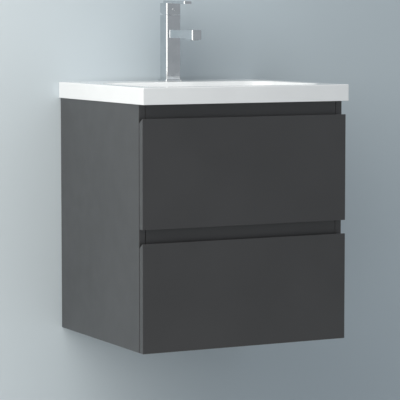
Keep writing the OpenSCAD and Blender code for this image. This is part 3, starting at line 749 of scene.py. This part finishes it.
@dataclass
class Drawer:
    """One drawer: its lacquered front, its melamine box and its fittings."""

    level: str
    body: Body
    backs: tuple[str, ...]
    land: float = 0.0025
    bevel: float = 0.0095
    front_edge: float = 0.0009
    front_angle: float = 15.0
    box_edge: float = 0.0006
    floor_edge: float = 0.0004
    bracket_sheet: float = 0.002
    bracket_edge: float = 0.0004
    bumper_edge: float = 0.0005
    screw: PanHead = PanHead(0.0034, 0.0016)
    screw_inset: float = 0.0165
    screw_shares: Span = (0.25, 0.75)

    def front(self) -> None:
        """Makes the front, with the finger bevel behind its top edge and softly rounded edges."""
        node = f"{self.level}_front"
        low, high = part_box(node)
        bm = cuboid(low, high)
        run = high.y - low.y - self.land
        cut = slice_at(bm, (0.0, low.y + self.land, high.z), (0.0, self.bevel, run), drop=True)
        bmesh.ops.contextual_create(bm, geom=cut)
        round_edges(bm, sharp_edges(bm, self.front_angle), self.front_edge, steps=4)
        make_piece(bm, f"{self.level}_drawer_front", LACQUER, self.body, node)

    def boards(self) -> None:
        """Makes the box's boards."""
        for node in (f"{self.level}_box_left", f"{self.level}_box_right", *self.backs):
            make_board(node, DRAWER, self.box_edge, self.body)
        node = f"{self.level}_box_floor"
        soften_node(node, f"{node}_board", DRAWER, self.floor_edge, body=self.body)

    def fittings(self) -> None:
        """Makes the front brackets with their screws, and the bumpers."""
        node = f"{self.level}_brackets"
        low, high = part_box(node)
        bm = softened(node, self.bracket_edge)
        sheet, inset = self.bracket_sheet, self.screw_inset
        for side in Side:
            for share in self.screw_shares:
                height = low.z + (high.z - low.z) * share
                on_front = (side.value * (high.x - inset), low.y + sheet, height)
                join_mesh(bm, self.screw.mesh(), placed(on_front, -90, "X"))
                on_side = (side.value * (high.x - sheet), low.y + inset, height)
                join_mesh(bm, self.screw.mesh(), placed(on_side, -90 * side.value, "Y"))
        make_piece(bm, f"{self.level}_front_brackets", ZINC, self.body, node)
        pads = f"{self.level}_buffer_pads"
        soften_node(f"{self.level}_bumpers", pads, RUBBER, self.bumper_edge, body=self.body)

    def build(self) -> None:
        """Makes the whole drawer."""
        self.front()
        self.boards()
        self.fittings()


@dataclass
class PipeCutout:
    """The moulded wall round the trap in the upper drawer."""

    edge: float = 0.0012

    def build(self) -> None:
        """Makes the wall."""
        soften_node("pipe_cutout", "pipe_cutout_wall", PLASTIC, self.edge, steps=3, body=Body.UPPER_DRAWER)


@dataclass
class Slides:
    """The rolled members of one drawer's ball-bearing slides."""

    level: str
    drawer: Body
    middles: Body
    sheet: float = 0.0012
    bend: float = 0.0024
    cut_edge: float = 0.00015
    cut_angle: float = 60.0
    screw: PanHead = PanHead(0.0038, 0.0018)
    screw_shares: tuple[float, ...] = (0.1, 0.45, 0.88)

    def member(self, node: str, body: Body, side: Side, web_outside: bool) -> None:
        """Makes one rolled C-section from the node's box.

        Args:
            node: The CAD node.
            body: The body it rides on.
            side: The cabinet's side.
            web_outside: Whether its web lies towards the side panel.
        """
        low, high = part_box(node)
        web, open_x = (high.x, low.x) if web_outside == (side is Side.RIGHT) else (low.x, high.x)
        bm = bmesh.new()
        section = [(open_x, low.z), (web, low.z), (web, high.z), (open_x, high.z)]
        line = draw_line(bm, [(x, low.y, z) for x, z in section])
        draw_out(bm, line, (0.0, high.y - low.y, 0.0))
        round_edges(bm, sharp_edges(bm), self.bend, steps=4)
        bmesh.ops.recalc_face_normals(bm, faces=bm.faces)
        # The sheet gets its thickness inwards, so the open section's faces have to point outwards
        web_face = max(bm.faces, key=lambda f: abs(f.normal.x) * f.calc_area())
        if web_face.normal.dot(middle(node) - web_face.calc_center_median()) > 0:
            bmesh.ops.reverse_faces(bm, faces=bm.faces)
        bmesh.ops.solidify(bm, geom=bm.faces, thickness=self.sheet)
        round_edges(bm, sharp_edges(bm, self.cut_angle), self.cut_edge, steps=1)
        if not web_outside:
            self.screws(bm, node, side, web)
        make_piece(bm, f"{node}_rail", ZINC, body, node)

    def screws(self, bm: Mesh, node: str, side: Side, web: float) -> None:
        """Adds the screws that hold the drawer's member, inside its channel.

        Args:
            bm: The member's mesh.
            node: Its CAD node.
            side: The cabinet's side.
            web: Where the outer face of its web lies on X.
        """
        low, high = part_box(node)
        for share in self.screw_shares:
            y = low.y + (high.y - low.y) * share
            point = (web + side.value * self.sheet, y, (low.z + high.z) / 2)
            join_mesh(bm, self.screw.mesh(), placed(point, 90 * side.value, "Y"))

    def build(self) -> None:
        """Makes the three members on both sides."""
        members = (("cabinet", Body.CABINET), ("middle", self.middles), ("drawer", self.drawer))
        for side in Side:
            for word, body in members:
                self.member(f"{self.level}_slide_{word}_{side.word}", body, side, word != "drawer")


# Basin


@dataclass
class OverflowDuct:
    """The overflow's duct, which runs down behind the bowl and forward to the waste."""

    half: float = 0.019
    back: float = -0.109
    mouth: float = -0.1265
    channel: float = 0.0157
    reach: float = 0.03
    boss_step: float = 0.0003
    deck_sink: float = 0.0004
    corner: float = 0.008

    def mesh(self, waste_y: float, low: float, high: float, lean: float) -> Mesh:
        """Makes the duct as a closed form.

        Args:
            waste_y: Where the waste's axis lies on Y.
            low: The height of the underside of the boss round the waste.
            high: The height of the deck's underside.
            lean: How far the bowl's rear wall leans forward for each metre of depth.

        Returns:
            A new mesh.
        """
        front = waste_y + self.reach
        bottom, foot, top = low + self.boss_step, low + self.channel, high + self.deck_sink
        side = [
            (front, bottom),
            (self.back, bottom),
            (self.back, top),
            (self.mouth, top),
            (self.mouth - lean * (high - foot), foot),
            (front, foot),
        ]
        bm = bmesh.new()
        face = bm.faces.new([bm.verts.new((-self.half, y, z)) for y, z in side])
        drawn = bmesh.ops.extrude_face_region(bm, geom=[face])["geom"]
        bmesh.ops.translate(bm, verts=of_kind(drawn, Vert), vec=(2 * self.half, 0, 0))
        bmesh.ops.recalc_face_normals(bm, faces=bm.faces)
        heel = max((v for v in bm.verts if v.co.x > 0), key=lambda v: v.co.y - v.co.z)
        across = [e for e in heel.link_edges if e.other_vert(heel).co.x < 0]
        round_edges(bm, across, self.corner, steps=5)
        return bm


@dataclass
class Basin:
    """The slab basin: a thin rounded slab with a soft bowl and a ledge for the tap."""

    slab: float = 0.0365
    corner: float = 0.0025
    top_edge: float = 0.002
    under_edge: float = 0.001
    bowl_half: float = 0.215
    bowl_front: float = -0.421
    bowl_back: float = -0.124
    depth: float = 0.100
    side_lean: float = 0.0379
    front_lean: float = 0.0744
    bowl_corner: float = 0.052
    floor_round: float = 0.030
    lip: float = 0.004
    lip_round: float = 0.0032
    wall: float = 0.00945
    floor_wall: float = 0.009
    pocket_half: float = 0.231
    pocket_front: float = -0.1175
    pocket_back: float = -0.022
    pocket_corner: float = 0.006
    deck: float = 0.016
    tap_hole: float = 0.0175
    waste_hole: float = 0.023
    boss_radius: float = 0.037
    boss_drop: float = 0.014
    overflow_drop: float = 0.032
    overflow_radius: float = 0.011
    overflow_depth: float = 0.012
    ring_edge: float = 0.0004

    def edge(self, low: Vector, high: Vector) -> Mesh:
        """Makes the slab's rounded outer edge, open above and below.

        Args:
            low: The basin's lower corner.
            high: Its upper corner.

        Returns:
            A new mesh.
        """
        bm = cuboid((low.x, low.y, high.z - self.slab), high)
        round_edges(bm, upright_edges(bm), self.corner, steps=4)
        round_edges(bm, face_at(bm, UP).edges, self.top_edge, steps=5)
        round_edges(bm, face_at(bm, DOWN).edges, self.under_edge)
        for way in (UP, DOWN):
            open_face(bm, face_at(bm, way))
        return bm

    def tub(self, rim: float, floor: float, grow: float) -> Mesh:
        """Makes the bowl's form as a shell that is open on top.

        Args:
            rim: The height of its open top.
            floor: The height of its floor.
            grow: Distance by which it is grown sideways.

        Returns:
            A new mesh.
        """
        bm = cuboid((-1, -1, 0), (1, 1, 1))
        for vert in bm.verts:
            top = vert.co.z > 0.5
            share = 0.0 if top else (rim - floor) / self.depth
            half = self.bowl_half + grow - self.side_lean * share
            front = self.bowl_front - grow + self.front_lean * share
            back = self.bowl_back + grow - self.side_lean * share
            y = front if vert.co.y < 0 else back
            vert.co = Vector((math.copysign(half, vert.co.x), y, rim if top else floor))
        sides = [e for e in bm.edges if abs(e.verts[0].co.z - e.verts[1].co.z) > LEVEL_SLACK]
        round_edges(bm, sides, self.bowl_corner + grow / 2, steps=12)
        round_edges(bm, face_at(bm, DOWN).edges, self.floor_round, steps=10)
        open_face(bm, face_at(bm, UP))
        return bm

    def overflow(self, bm: Mesh, rim: float) -> None:
        """Opens the overflow in the bowl's rear wall.

        Args:
            bm: The bowl's mesh.
            rim: The height of its top.
        """
        across = [f for f in bm.faces if abs(f.normal.y) > abs(f.normal.x) + abs(f.normal.z)]
        rear = max(across, key=lambda f: f.calc_center_median().y)
        normal = rear.normal.copy()
        if normal.y > 0:
            normal.negate()
        centre = rear.calc_center_median()
        height = rim - self.overflow_drop
        y = centre.y + (height - centre.z) * -normal.z / normal.y
        turn = Vector(UP).rotation_difference(normal).to_matrix().to_4x4()
        outline = open_face(bm, rear)
        place = Matrix.Translation((0.0, y, height)) @ turn
        ring = add_ring(bm, self.overflow_radius, place, steps=40)
        fill(bm, outline + ring)
        bmesh.ops.contextual_create(bm, geom=draw_out(bm, ring, -normal * self.overflow_depth))

    def bowl(self, rim: float) -> Mesh:
        """Makes the bowl with its overflow and its rounded lip, open at the floor.

        Args:
            rim: The height of its top.

        Returns:
            A new mesh.
        """
        bm = self.tub(rim, rim - self.depth, 0.0)
        self.overflow(bm, rim)
        top = open_edges(bm, rim)
        length = self.bowl_back - self.bowl_front
        draw_out(bm, top, grow=(1 + self.lip / self.bowl_half, 1 + 2 * self.lip / length))
        round_edges(bm, top, self.lip_round, steps=5)
        open_face(bm, face_at(bm, DOWN))
        return bm

    def outside(self, rim: float) -> Mesh:
        """Makes the bowl's outside below the slab, open at the floor.

        Args:
            rim: The height of the bowl's top.

        Returns:
            A new mesh.
        """
        bm = self.tub(rim, rim - self.depth - self.floor_wall, self.wall)
        slice_at(bm, (0, 0, rim - self.slab), UP, drop=True)
        open_face(bm, face_at(bm, DOWN))
        return bm

    def pocket(self, rim: float) -> Mesh:
        """Makes the walls of the hollow under the deck, behind the bowl.

        Args:
            rim: The height of the basin's top.

        Returns:
            A new mesh.
        """
        low = (-self.pocket_half, self.pocket_front, rim - self.slab)
        bm = cuboid(low, (self.pocket_half, self.pocket_back, rim - self.deck))
        round_edges(bm, upright_edges(bm), self.pocket_corner, steps=4)
        for way in (UP, DOWN):
            open_face(bm, face_at(bm, way))
        return bm

    def boss(self, bm: Mesh, waste_y: float, floor: float) -> None:
        """Closes the floor round the waste's hole, with a boss below it.

        Args:
            bm: The basin's mesh.
            waste_y: Where the waste's axis lies on Y.
            floor: The height of the bowl's floor.
        """
        wide = self.boss_radius / self.waste_hole
        ring = add_ring(bm, self.waste_hole, placed((0, waste_y, floor)))
        fill(bm, open_edges(bm, floor) + ring)
        ring = draw_out(bm, ring, (0.0, 0.0, -self.floor_wall - self.boss_drop))
        ring = draw_out(bm, ring, grow=(wide, wide))
        draw_out(bm, ring, (0.0, 0.0, self.boss_drop))
        fill(bm, open_edges(bm, floor - self.floor_wall))

    def build(self) -> None:
        """Makes the basin as one closed shell with its duct, and the ring in its overflow."""
        low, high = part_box("basin")
        rim = high.z
        floor = rim - self.depth
        waste_y = middle("waste_body").y
        bm = self.edge(low, high)
        for part in (self.bowl(rim), self.outside(rim), self.pocket(rim)):
            join_mesh(bm, part)
        ring = add_ring(bm, self.tap_hole, placed((0, middle("tap_base").y, rim)))
        fill(bm, open_edges(bm, rim) + ring)
        draw_out(bm, ring, (0.0, 0.0, -self.deck))
        for level in (self.deck, self.slab):
            fill(bm, open_edges(bm, rim - level))
        self.boss(bm, waste_y, floor)
        bottom = floor - self.floor_wall - self.boss_drop
        lean = self.side_lean / self.depth
        join_mesh(bm, OverflowDuct().mesh(waste_y, bottom, rim - self.deck, lean))
        make_piece(bm, "slab_basin", STONE, Body.CABINET, "basin")
        soften_node("overflow_trim", "overflow_ring", CHROME, self.ring_edge)


@dataclass
class Waste:
    """The press-plug waste under the bowl."""

    tube_edge: float = 0.0004
    plug_edge: float = 0.0008
    seal_edge: float = 0.0006

    def build(self) -> None:
        """Makes the flange and tube, the plug, the nut and the seal."""
        soften_node("waste_body", "waste_flange_and_tube", CHROME, self.tube_edge)
        soften_node("waste_plug", "press_plug", CHROME, self.plug_edge, steps=3, body=Body.PLUG)
        soften_node("waste_nut", "waste_ring_nut", CHROME, self.plug_edge, steps=3)
        soften_node("waste_seal", "waste_cone_seal", RUBBER, self.seal_edge)


# Tap


@dataclass
class Tap:
    """The square single-lever tap."""

    corner: float = 0.005
    edge: float = 0.0007
    head_half: float = 0.01875
    head_height: float = 0.0273
    spout_half: float = 0.01275
    spout_low: float = 0.1005
    spout_high: float = 0.119
    outlet_drop: float = 0.0035
    outlet_length: float = 0.027
    bore: float = 0.01255
    bore_depth: float = 0.012
    shank: float = 0.016
    shank_bevel: float = 0.0005
    shank_overlap: float = 0.001
    tilt: float = 20.0
    tilt_clear: float = 0.0003
    socket: Point = (0.00415, 0.007, 0.011)
    plate_half: float = 0.0105
    plate_thick: float = 0.0063
    plate_set: float = 0.003
    plate_sink: float = 0.0003
    plate_fall: float = 1.4
    button_edge: float = 0.001
    nut_edge: float = 0.0005
    washer_edge: float = 0.0004
    small_edge: float = 0.0003

    def block(self, back: float, low: float, high: float) -> Mesh:
        """Makes a block of the tap's square section, with rounded upright corners.

        Args:
            back: Where its rear face lies on Y.
            low: The height of its underside.
            high: The height of its top.

        Returns:
            A new mesh.
        """
        half = self.head_half
        bm = cuboid((-half, back - 2 * half, low), (half, back, high))
        round_edges(bm, upright_edges(bm), self.corner, steps=8)
        return bm

    def join_faces(self, bm: Mesh) -> None:
        """Turns all faces outwards and joins those that lie in one plane."""
        bmesh.ops.recalc_face_normals(bm, faces=bm.faces)
        join_flats(bm)

    def round_end(self, bm: Mesh, end: float) -> None:
        """Rounds the upright corners at the front end of a bar.

        Args:
            bm: The bar's mesh.
            end: Where that end lies on Y.
        """
        self.join_faces(bm)
        corners = [e for e in upright_edges(bm) if abs(e.verts[0].co.y - end) < LEVEL_SLACK]
        round_edges(bm, corners, self.corner, steps=8)

    def spout(self, bm: Mesh, root: float, tip: float) -> None:
        """Draws the spout out of the body's front, with the outlet's collar under its end.

        Args:
            bm: The body's mesh.
            root: Where the body's front lies on Y.
            tip: Where the spout's end lies on Y.
        """
        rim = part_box("basin")[1].z
        low, high = rim + self.spout_low, rim + self.spout_high
        for height in (low, high):
            slice_at(bm, (0, 0, height), UP)
        for x in (-self.spout_half, self.spout_half):
            slice_at(bm, (x, 0, 0), (1, 0, 0))
        push_face(bm, face_near(bm, (0.0, root, (low + high) / 2)), (0, tip - root, 0))
        bar = [f for f in bm.faces if f.calc_center_median().y < root - LEVEL_SLACK]
        slice_at(bm, (0, tip + self.outlet_length, 0), (0, 1, 0), faces=bar)
        outlet = face_near(bm, (0.0, tip + self.outlet_length / 2, low))
        push_face(bm, outlet, (0, 0, -self.outlet_drop))
        self.round_end(bm, tip)

    def casting(self) -> None:
        """Makes the body with its spout and shank in one casting."""
        low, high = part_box("tap_body")
        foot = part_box("tap_base")[1].z
        tap_y = high.y - self.head_half
        bm = self.block(high.y, foot, high.z)
        self.spout(bm, tap_y - self.head_half, low.y)
        outline = open_face(bm, face_at(bm, UP))
        ring = add_ring(bm, self.bore, placed((0, tap_y, high.z)), steps=64)
        fill(bm, outline + ring)
        bmesh.ops.contextual_create(bm, geom=draw_out(bm, ring, (0, 0, -self.bore_depth)))
        bmesh.ops.recalc_face_normals(bm, faces=bm.faces)
        round_edges(bm, [e for e in sharp_edges(bm) if e not in ring], self.edge)
        top = foot + self.shank_overlap
        profile = [
            (0.0, low.z),
            (self.shank - self.shank_bevel, low.z),
            (self.shank, low.z + self.shank_bevel),
            (self.shank, top),
            (0.0, top),
        ]
        join_mesh(bm, spin_profile(profile), placed((0, tap_y, 0)))
        make_piece(bm, "tap_casting", CHROME, Body.CABINET, "tap_body")

    def lever(self) -> None:
        """Makes the square head with its plate, bevelled below the rear so that it can tilt."""
        low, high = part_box("tap_lever")
        tap_y = high.y - self.head_half
        bm = self.block(high.y, low.z, low.z + self.head_height)
        half_x, half_y, deep = self.socket
        for sign in (-1, 1):
            slice_at(bm, (sign * half_x, 0, 0), (1, 0, 0))
            slice_at(bm, (0, tap_y + sign * half_y, 0), (0, 1, 0))
        push_face(bm, face_near(bm, (0.0, tap_y, low.z)), (0, 0, deep))
        angle = math.radians(self.tilt)
        hinge = (0, tap_y, low.z + self.tilt_clear)
        fill(bm, slice_at(bm, hinge, (0, math.sin(angle), -math.cos(angle)), drop=True))
        self.join_faces(bm)
        round_edges(bm, sharp_edges(bm), self.edge)
        self.top_plate(bm, low, high)
        make_piece(bm, "tap_lever_head", CHROME, Body.LEVER, "tap_lever")

    def top_plate(self, head: Mesh, low: Vector, high: Vector) -> None:
        """Lays the lever's plate, which falls a little towards its tip, on the head.

        Args:
            head: The head's mesh, which the plate is added to.
            low: The lever node's lower corner.
            high: Its upper corner.
        """
        fall = math.radians(self.plate_fall)
        rear = high.y - self.plate_set
        long = (rear - low.y - self.plate_thick * math.sin(fall)) / math.cos(fall)
        bm = cuboid((-self.plate_half, -long, 0.0), (self.plate_half, 0.0, self.plate_thick))
        self.round_end(bm, -long)
        round_edges(bm, sharp_edges(bm), self.edge)
        top = low.z + self.head_height - self.plate_sink
        join_mesh(head, bm, placed((0.0, rear, top), self.plate_fall, "X"))

    def index(self) -> None:
        """Makes the domed button on the head's front."""
        low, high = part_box("tap_index")
        centre = middle("tap_index")
        radius, long, edge = (high.x - low.x) / 2, high.y - low.y, self.button_edge
        arc = [math.radians(turn) for turn in range(0, 91, 15)]
        dome = [(radius - edge * (1 - math.cos(a)), long - edge * (1 - math.sin(a))) for a in arc]
        bm = spin_profile([(0.0, 0.0), (radius, 0.0), *dome, (0.0, long)], steps=32)
        bm.transform(placed((centre.x, high.y, centre.z), 90, "X"))
        make_piece(bm, "tap_index_button", CHROME, Body.LEVER, "tap_index")

    def plate(self) -> None:
        """Makes the base plate on the basin."""
        bm = cuboid(*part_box("tap_base"))
        round_edges(bm, upright_edges(bm), self.corner, steps=8)
        round_edges(bm, sharp_edges(bm), self.edge)
        make_piece(bm, "tap_base_plate", CHROME, Body.CABINET, "tap_base")

    def build(self) -> None:
        """Makes the tap and its fixings."""
        self.casting()
        self.lever()
        self.index()
        self.plate()
        soften_node("tap_aerator", "tap_aerator_insert", STAINLESS, self.small_edge)
        soften_node("tap_nut", "tap_fixing_nut", BRASS, self.nut_edge)
        soften_node("tap_washer", "tap_horseshoe_washer", ZINC, self.washer_edge)
        soften_node("supply_pipes", "tap_supply_pipes", PIPE, self.small_edge)
        dress_node("tap_cartridge", ACETAL)
        dress_node("tap_shaft", STAINLESS)
        dress_node("tap_stud", BRASS)


# Room


@dataclass(frozen=True)
class Shade:
    """A soft patch of painted shade on the wall: its centre, its reach and the share by which it darkens."""

    x: float
    z: float
    reach_x: float
    reach_z: float
    share: float

    def dim(self, tree: Tree, place: Socket, colour: Socket) -> Socket:
        """Paints shade into a colour, darkening it in this place.

        Args:
            tree: The material's node tree.
            place: Object coordinates, in metres.
            colour: The colour.

        Returns:
            The darkened colour.
        """
        about = {
            "Location": (-self.x / self.reach_x, 0.0, -self.z / self.reach_z),
            "Scale": (1 / self.reach_x, 1.0, 1 / self.reach_z),
        }
        near = add_node(tree, "ShaderNodeMapping", about, {"Vector": place})
        away = add_node(tree, "ShaderNodeVectorMath", {"operation": "LENGTH"}, {0: near.outputs[0]})
        fade = {"interpolation_type": "SMOOTHSTEP", "To Min": 1.0 - self.share, "To Max": 1.0}
        level = add_node(tree, "ShaderNodeMapRange", fade, {"Value": away.outputs["Value"]})
        links = {0: colour, "Scale": level.outputs[0]}
        return add_node(tree, "ShaderNodeVectorMath", {"operation": "SCALE"}, links).outputs[0]


@dataclass(frozen=True)
class Backdrop:
    """A plane of the room, which can be looked through from its back.

    Its corners run counterclockwise as seen from its front, and its colour can drift from left to
    right, which is painted light that falls off away from the lamp on the left. A seen_only one
    lets all light through, and shows only to the camera and in mirrors.
    """

    name: str
    corners: tuple[Point, ...]
    left: str
    right: str
    seen_only: bool = False
    painted_shades: tuple[Shade, ...] = ()
    # Where on X the painted light's drift runs from the left colour to the right one, in metres
    drift: Span = (-0.7, 0.3)

    def colour(self, tree: Tree) -> Socket:
        """Adds the colour's drift, which is painted light, and the patches of painted shade.

        Args:
            tree: The material's node tree.

        Returns:
            The colour.
        """
        place = add_node(tree, "ShaderNodeTexCoord").outputs["Object"]
        across = add_node(tree, "ShaderNodeSeparateXYZ", None, {0: place}).outputs[0]
        reach = {"interpolation_type": "SMOOTHSTEP", "From Min": self.drift[0], "From Max": self.drift[1]}
        share = add_node(tree, "ShaderNodeMapRange", reach, {"Value": across})
        ends = {"data_type": "RGBA", 6: linear(self.left), 7: linear(self.right)}
        colour = add_node(tree, "ShaderNodeMix", ends, {0: share.outputs[0]}).outputs[2]
        for shade in self.painted_shades:
            colour = shade.dim(tree, place, colour)
        return colour

    def passing(self, tree: Tree) -> Socket:
        """Adds the test for the rays that pass.

        Args:
            tree: The material's node tree.

        Returns:
            1 for a ray that passes, and 0 for one that doesn't.
        """
        back = add_node(tree, "ShaderNodeNewGeometry").outputs["Backfacing"]
        if not self.seen_only:
            return back
        path = add_node(tree, "ShaderNodeLightPath").outputs
        either = {0: path["Is Camera Ray"], 1: path["Is Glossy Ray"]}
        seen = add_node(tree, "ShaderNodeMath", {"operation": "MAXIMUM"}, either)
        unseen = add_node(tree, "ShaderNodeMath", {"operation": "SUBTRACT", 0: 1.0}, {1: seen.outputs[0]})
        either = {0: back, 1: unseen.outputs[0]}
        return add_node(tree, "ShaderNodeMath", {"operation": "MAXIMUM"}, either).outputs[0]

    def build(self) -> None:
        """Adds the plane to the stage."""
        bm = bmesh.new()
        bm.faces.new([bm.verts.new(corner) for corner in self.corners])
        mesh = bpy.data.meshes.new(self.name)
        bm.to_mesh(mesh)
        bm.free()
        plane = bpy.data.objects.new(self.name, mesh)
        bpy.context.scene.collection.objects.link(plane)
        made = bpy.data.materials.new(self.name)
        made.use_nodes = True
        tree = made.node_tree
        tree.nodes.clear()
        paint = add_node(tree, "ShaderNodeBsdfDiffuse", None, {"Color": self.colour(tree)})
        clear = add_node(tree, "ShaderNodeBsdfTransparent")
        links = {0: self.passing(tree), 1: paint.outputs[0], 2: clear.outputs[0]}
        mix = add_node(tree, "ShaderNodeMixShader", None, links)
        add_node(tree, "ShaderNodeOutputMaterial", None, {"Surface": mix.outputs[0]})
        mesh.materials.append(made)


@dataclass(frozen=True)
class Lamp:
    """A soft rectangular lamp: the way to it from what it lights, its distance, size and colour.

    Its level is the brightness that it gives a white surface that faces it.
    """

    name: str
    way: Point
    distance: float
    size: Span
    level: float
    colour: str

    def build(self, aim: Point) -> None:
        """Adds the lamp.

        Args:
            aim: The point that it shines on.
        """
        data = bpy.data.lights.new(self.name, "AREA")
        data.color = linear(self.colour)[:3]
        data.shape = "RECTANGLE"
        data.size, data.size_y = self.size
        data.energy = self.level * math.pi**2 * self.distance**2
        lamp = bpy.data.objects.new(self.name, data)
        bpy.context.scene.collection.objects.link(lamp)
        way = Vector(self.way)
        lamp.location = Vector(aim) + way.normalized() * self.distance
        lamp.rotation_euler = (-way).to_track_quat("-Z", "Y").to_euler()


@dataclass
class Room:
    """The plain room: a pale wall and floor, soft lamps and the camera of the photograph."""

    # The wall's colours at its left and right: painted light, lighter near the lamp on the left
    wall_left: str = "#dae3e9"
    wall_right: str = "#c4d0d8"
    wall_y: float = 0.0004
    wall_height: float = 3.2
    floor_colour: str = "#d9dbdc"
    floor_z: float = -0.80
    reach: float = 4.0
    # Painted shade on the wall: a soft shadow above the basin round and right of the tap, and a contact
    # shadow along the basin's rear edge
    painted_shades: tuple[Shade, ...] = (Shade(0.12, 0.10, 0.32, 0.26, 0.26), Shade(0.02, 0.106, 0.27, 0.014, 0.17))
    world_colour: str = "#eaeff3"
    world_light: float = 0.48
    world_seen: float = 0.92
    lamps: tuple[Lamp, ...] = (
        Lamp("window_left", (-0.70, -0.33, 0.63), 2.2, (1.9, 3.2), 1.12, "#fffbf2"),
        Lamp("behind", (0.2, 1.0, 0.12), 4.0, (2.0, 2.0), 0.25, "#ffffff"),
    )
    aim: Point = (0.0, -0.2, -0.1)
    lens: float = 185.05
    sensor: float = 36.0
    clip_end: float = 100.0
    camera_at: Point = (-2.11495, -4.3583, 0.25379)
    yaw: float = 27.0567
    pitch: float = 5.0714

    def planes(self) -> None:
        """Makes the wall and the floor."""
        out, y, z = self.reach, self.wall_y, self.floor_z
        top = z + self.wall_height
        wall = ((-out, y, z), (out, y, z), (out, y, top), (-out, y, top))
        Backdrop("wall", wall, self.wall_left, self.wall_right, True, self.painted_shades).build()
        floor = ((-out, -out, z), (out, -out, z), (out, out, z), (-out, out, z))
        Backdrop("floor", floor, self.floor_colour, self.floor_colour).build()

    def world(self) -> None:
        """Sets an even pale sky, a little brighter where it is seen than where it lights."""
        world = bpy.data.worlds.new("pale_room")
        bpy.context.scene.world = world
        world.use_nodes = True
        tree = world.node_tree
        tree.nodes.clear()
        colour = linear(self.world_colour)
        lit, seen = (
            add_node(tree, "ShaderNodeBackground", {"Color": colour, "Strength": strength}).outputs[0]
            for strength in (self.world_light, self.world_seen)
        )
        path = add_node(tree, "ShaderNodeLightPath")
        links = {0: path.outputs["Is Camera Ray"], 1: lit, 2: seen}
        mix = add_node(tree, "ShaderNodeMixShader", None, links)
        add_node(tree, "ShaderNodeOutputWorld", None, {"Surface": mix.outputs[0]})

    def camera(self) -> None:
        """Places the camera where the photograph was taken."""
        data = bpy.data.cameras.new("photo_camera")
        data.sensor_width = self.sensor
        data.lens = self.lens
        data.clip_end = self.clip_end
        camera = bpy.data.objects.new("photo_camera", data)
        bpy.context.scene.collection.objects.link(camera)
        camera.location = self.camera_at
        camera.rotation_euler = (math.radians(90 - self.pitch), 0.0, math.radians(-self.yaw))
        bpy.context.scene.camera = camera

    def build(self) -> None:
        """Makes the room."""
        self.planes()
        self.world()
        for lamp in self.lamps:
            lamp.build(self.aim)
        self.camera()
        bpy.context.scene.view_settings.view_transform = "Standard"


def main() -> None:
    """Builds the room and each sub-assembly in order."""
    logging.basicConfig(level=logging.INFO, format="%(message)s")
    Room().build()
    Carcass().build()
    WallHanging().build()
    Drawer("upper", Body.UPPER_DRAWER, ("upper_back_left", "upper_back_right")).build()
    Drawer("lower", Body.LOWER_DRAWER, ("lower_box_back",)).build()
    PipeCutout().build()
    Slides("upper", Body.UPPER_DRAWER, Body.UPPER_MIDDLES).build()
    Slides("lower", Body.LOWER_DRAWER, Body.LOWER_MIDDLES).build()
    Basin().build()
    Waste().build()
    Tap().build()


if __name__ == "__main__":
    main()
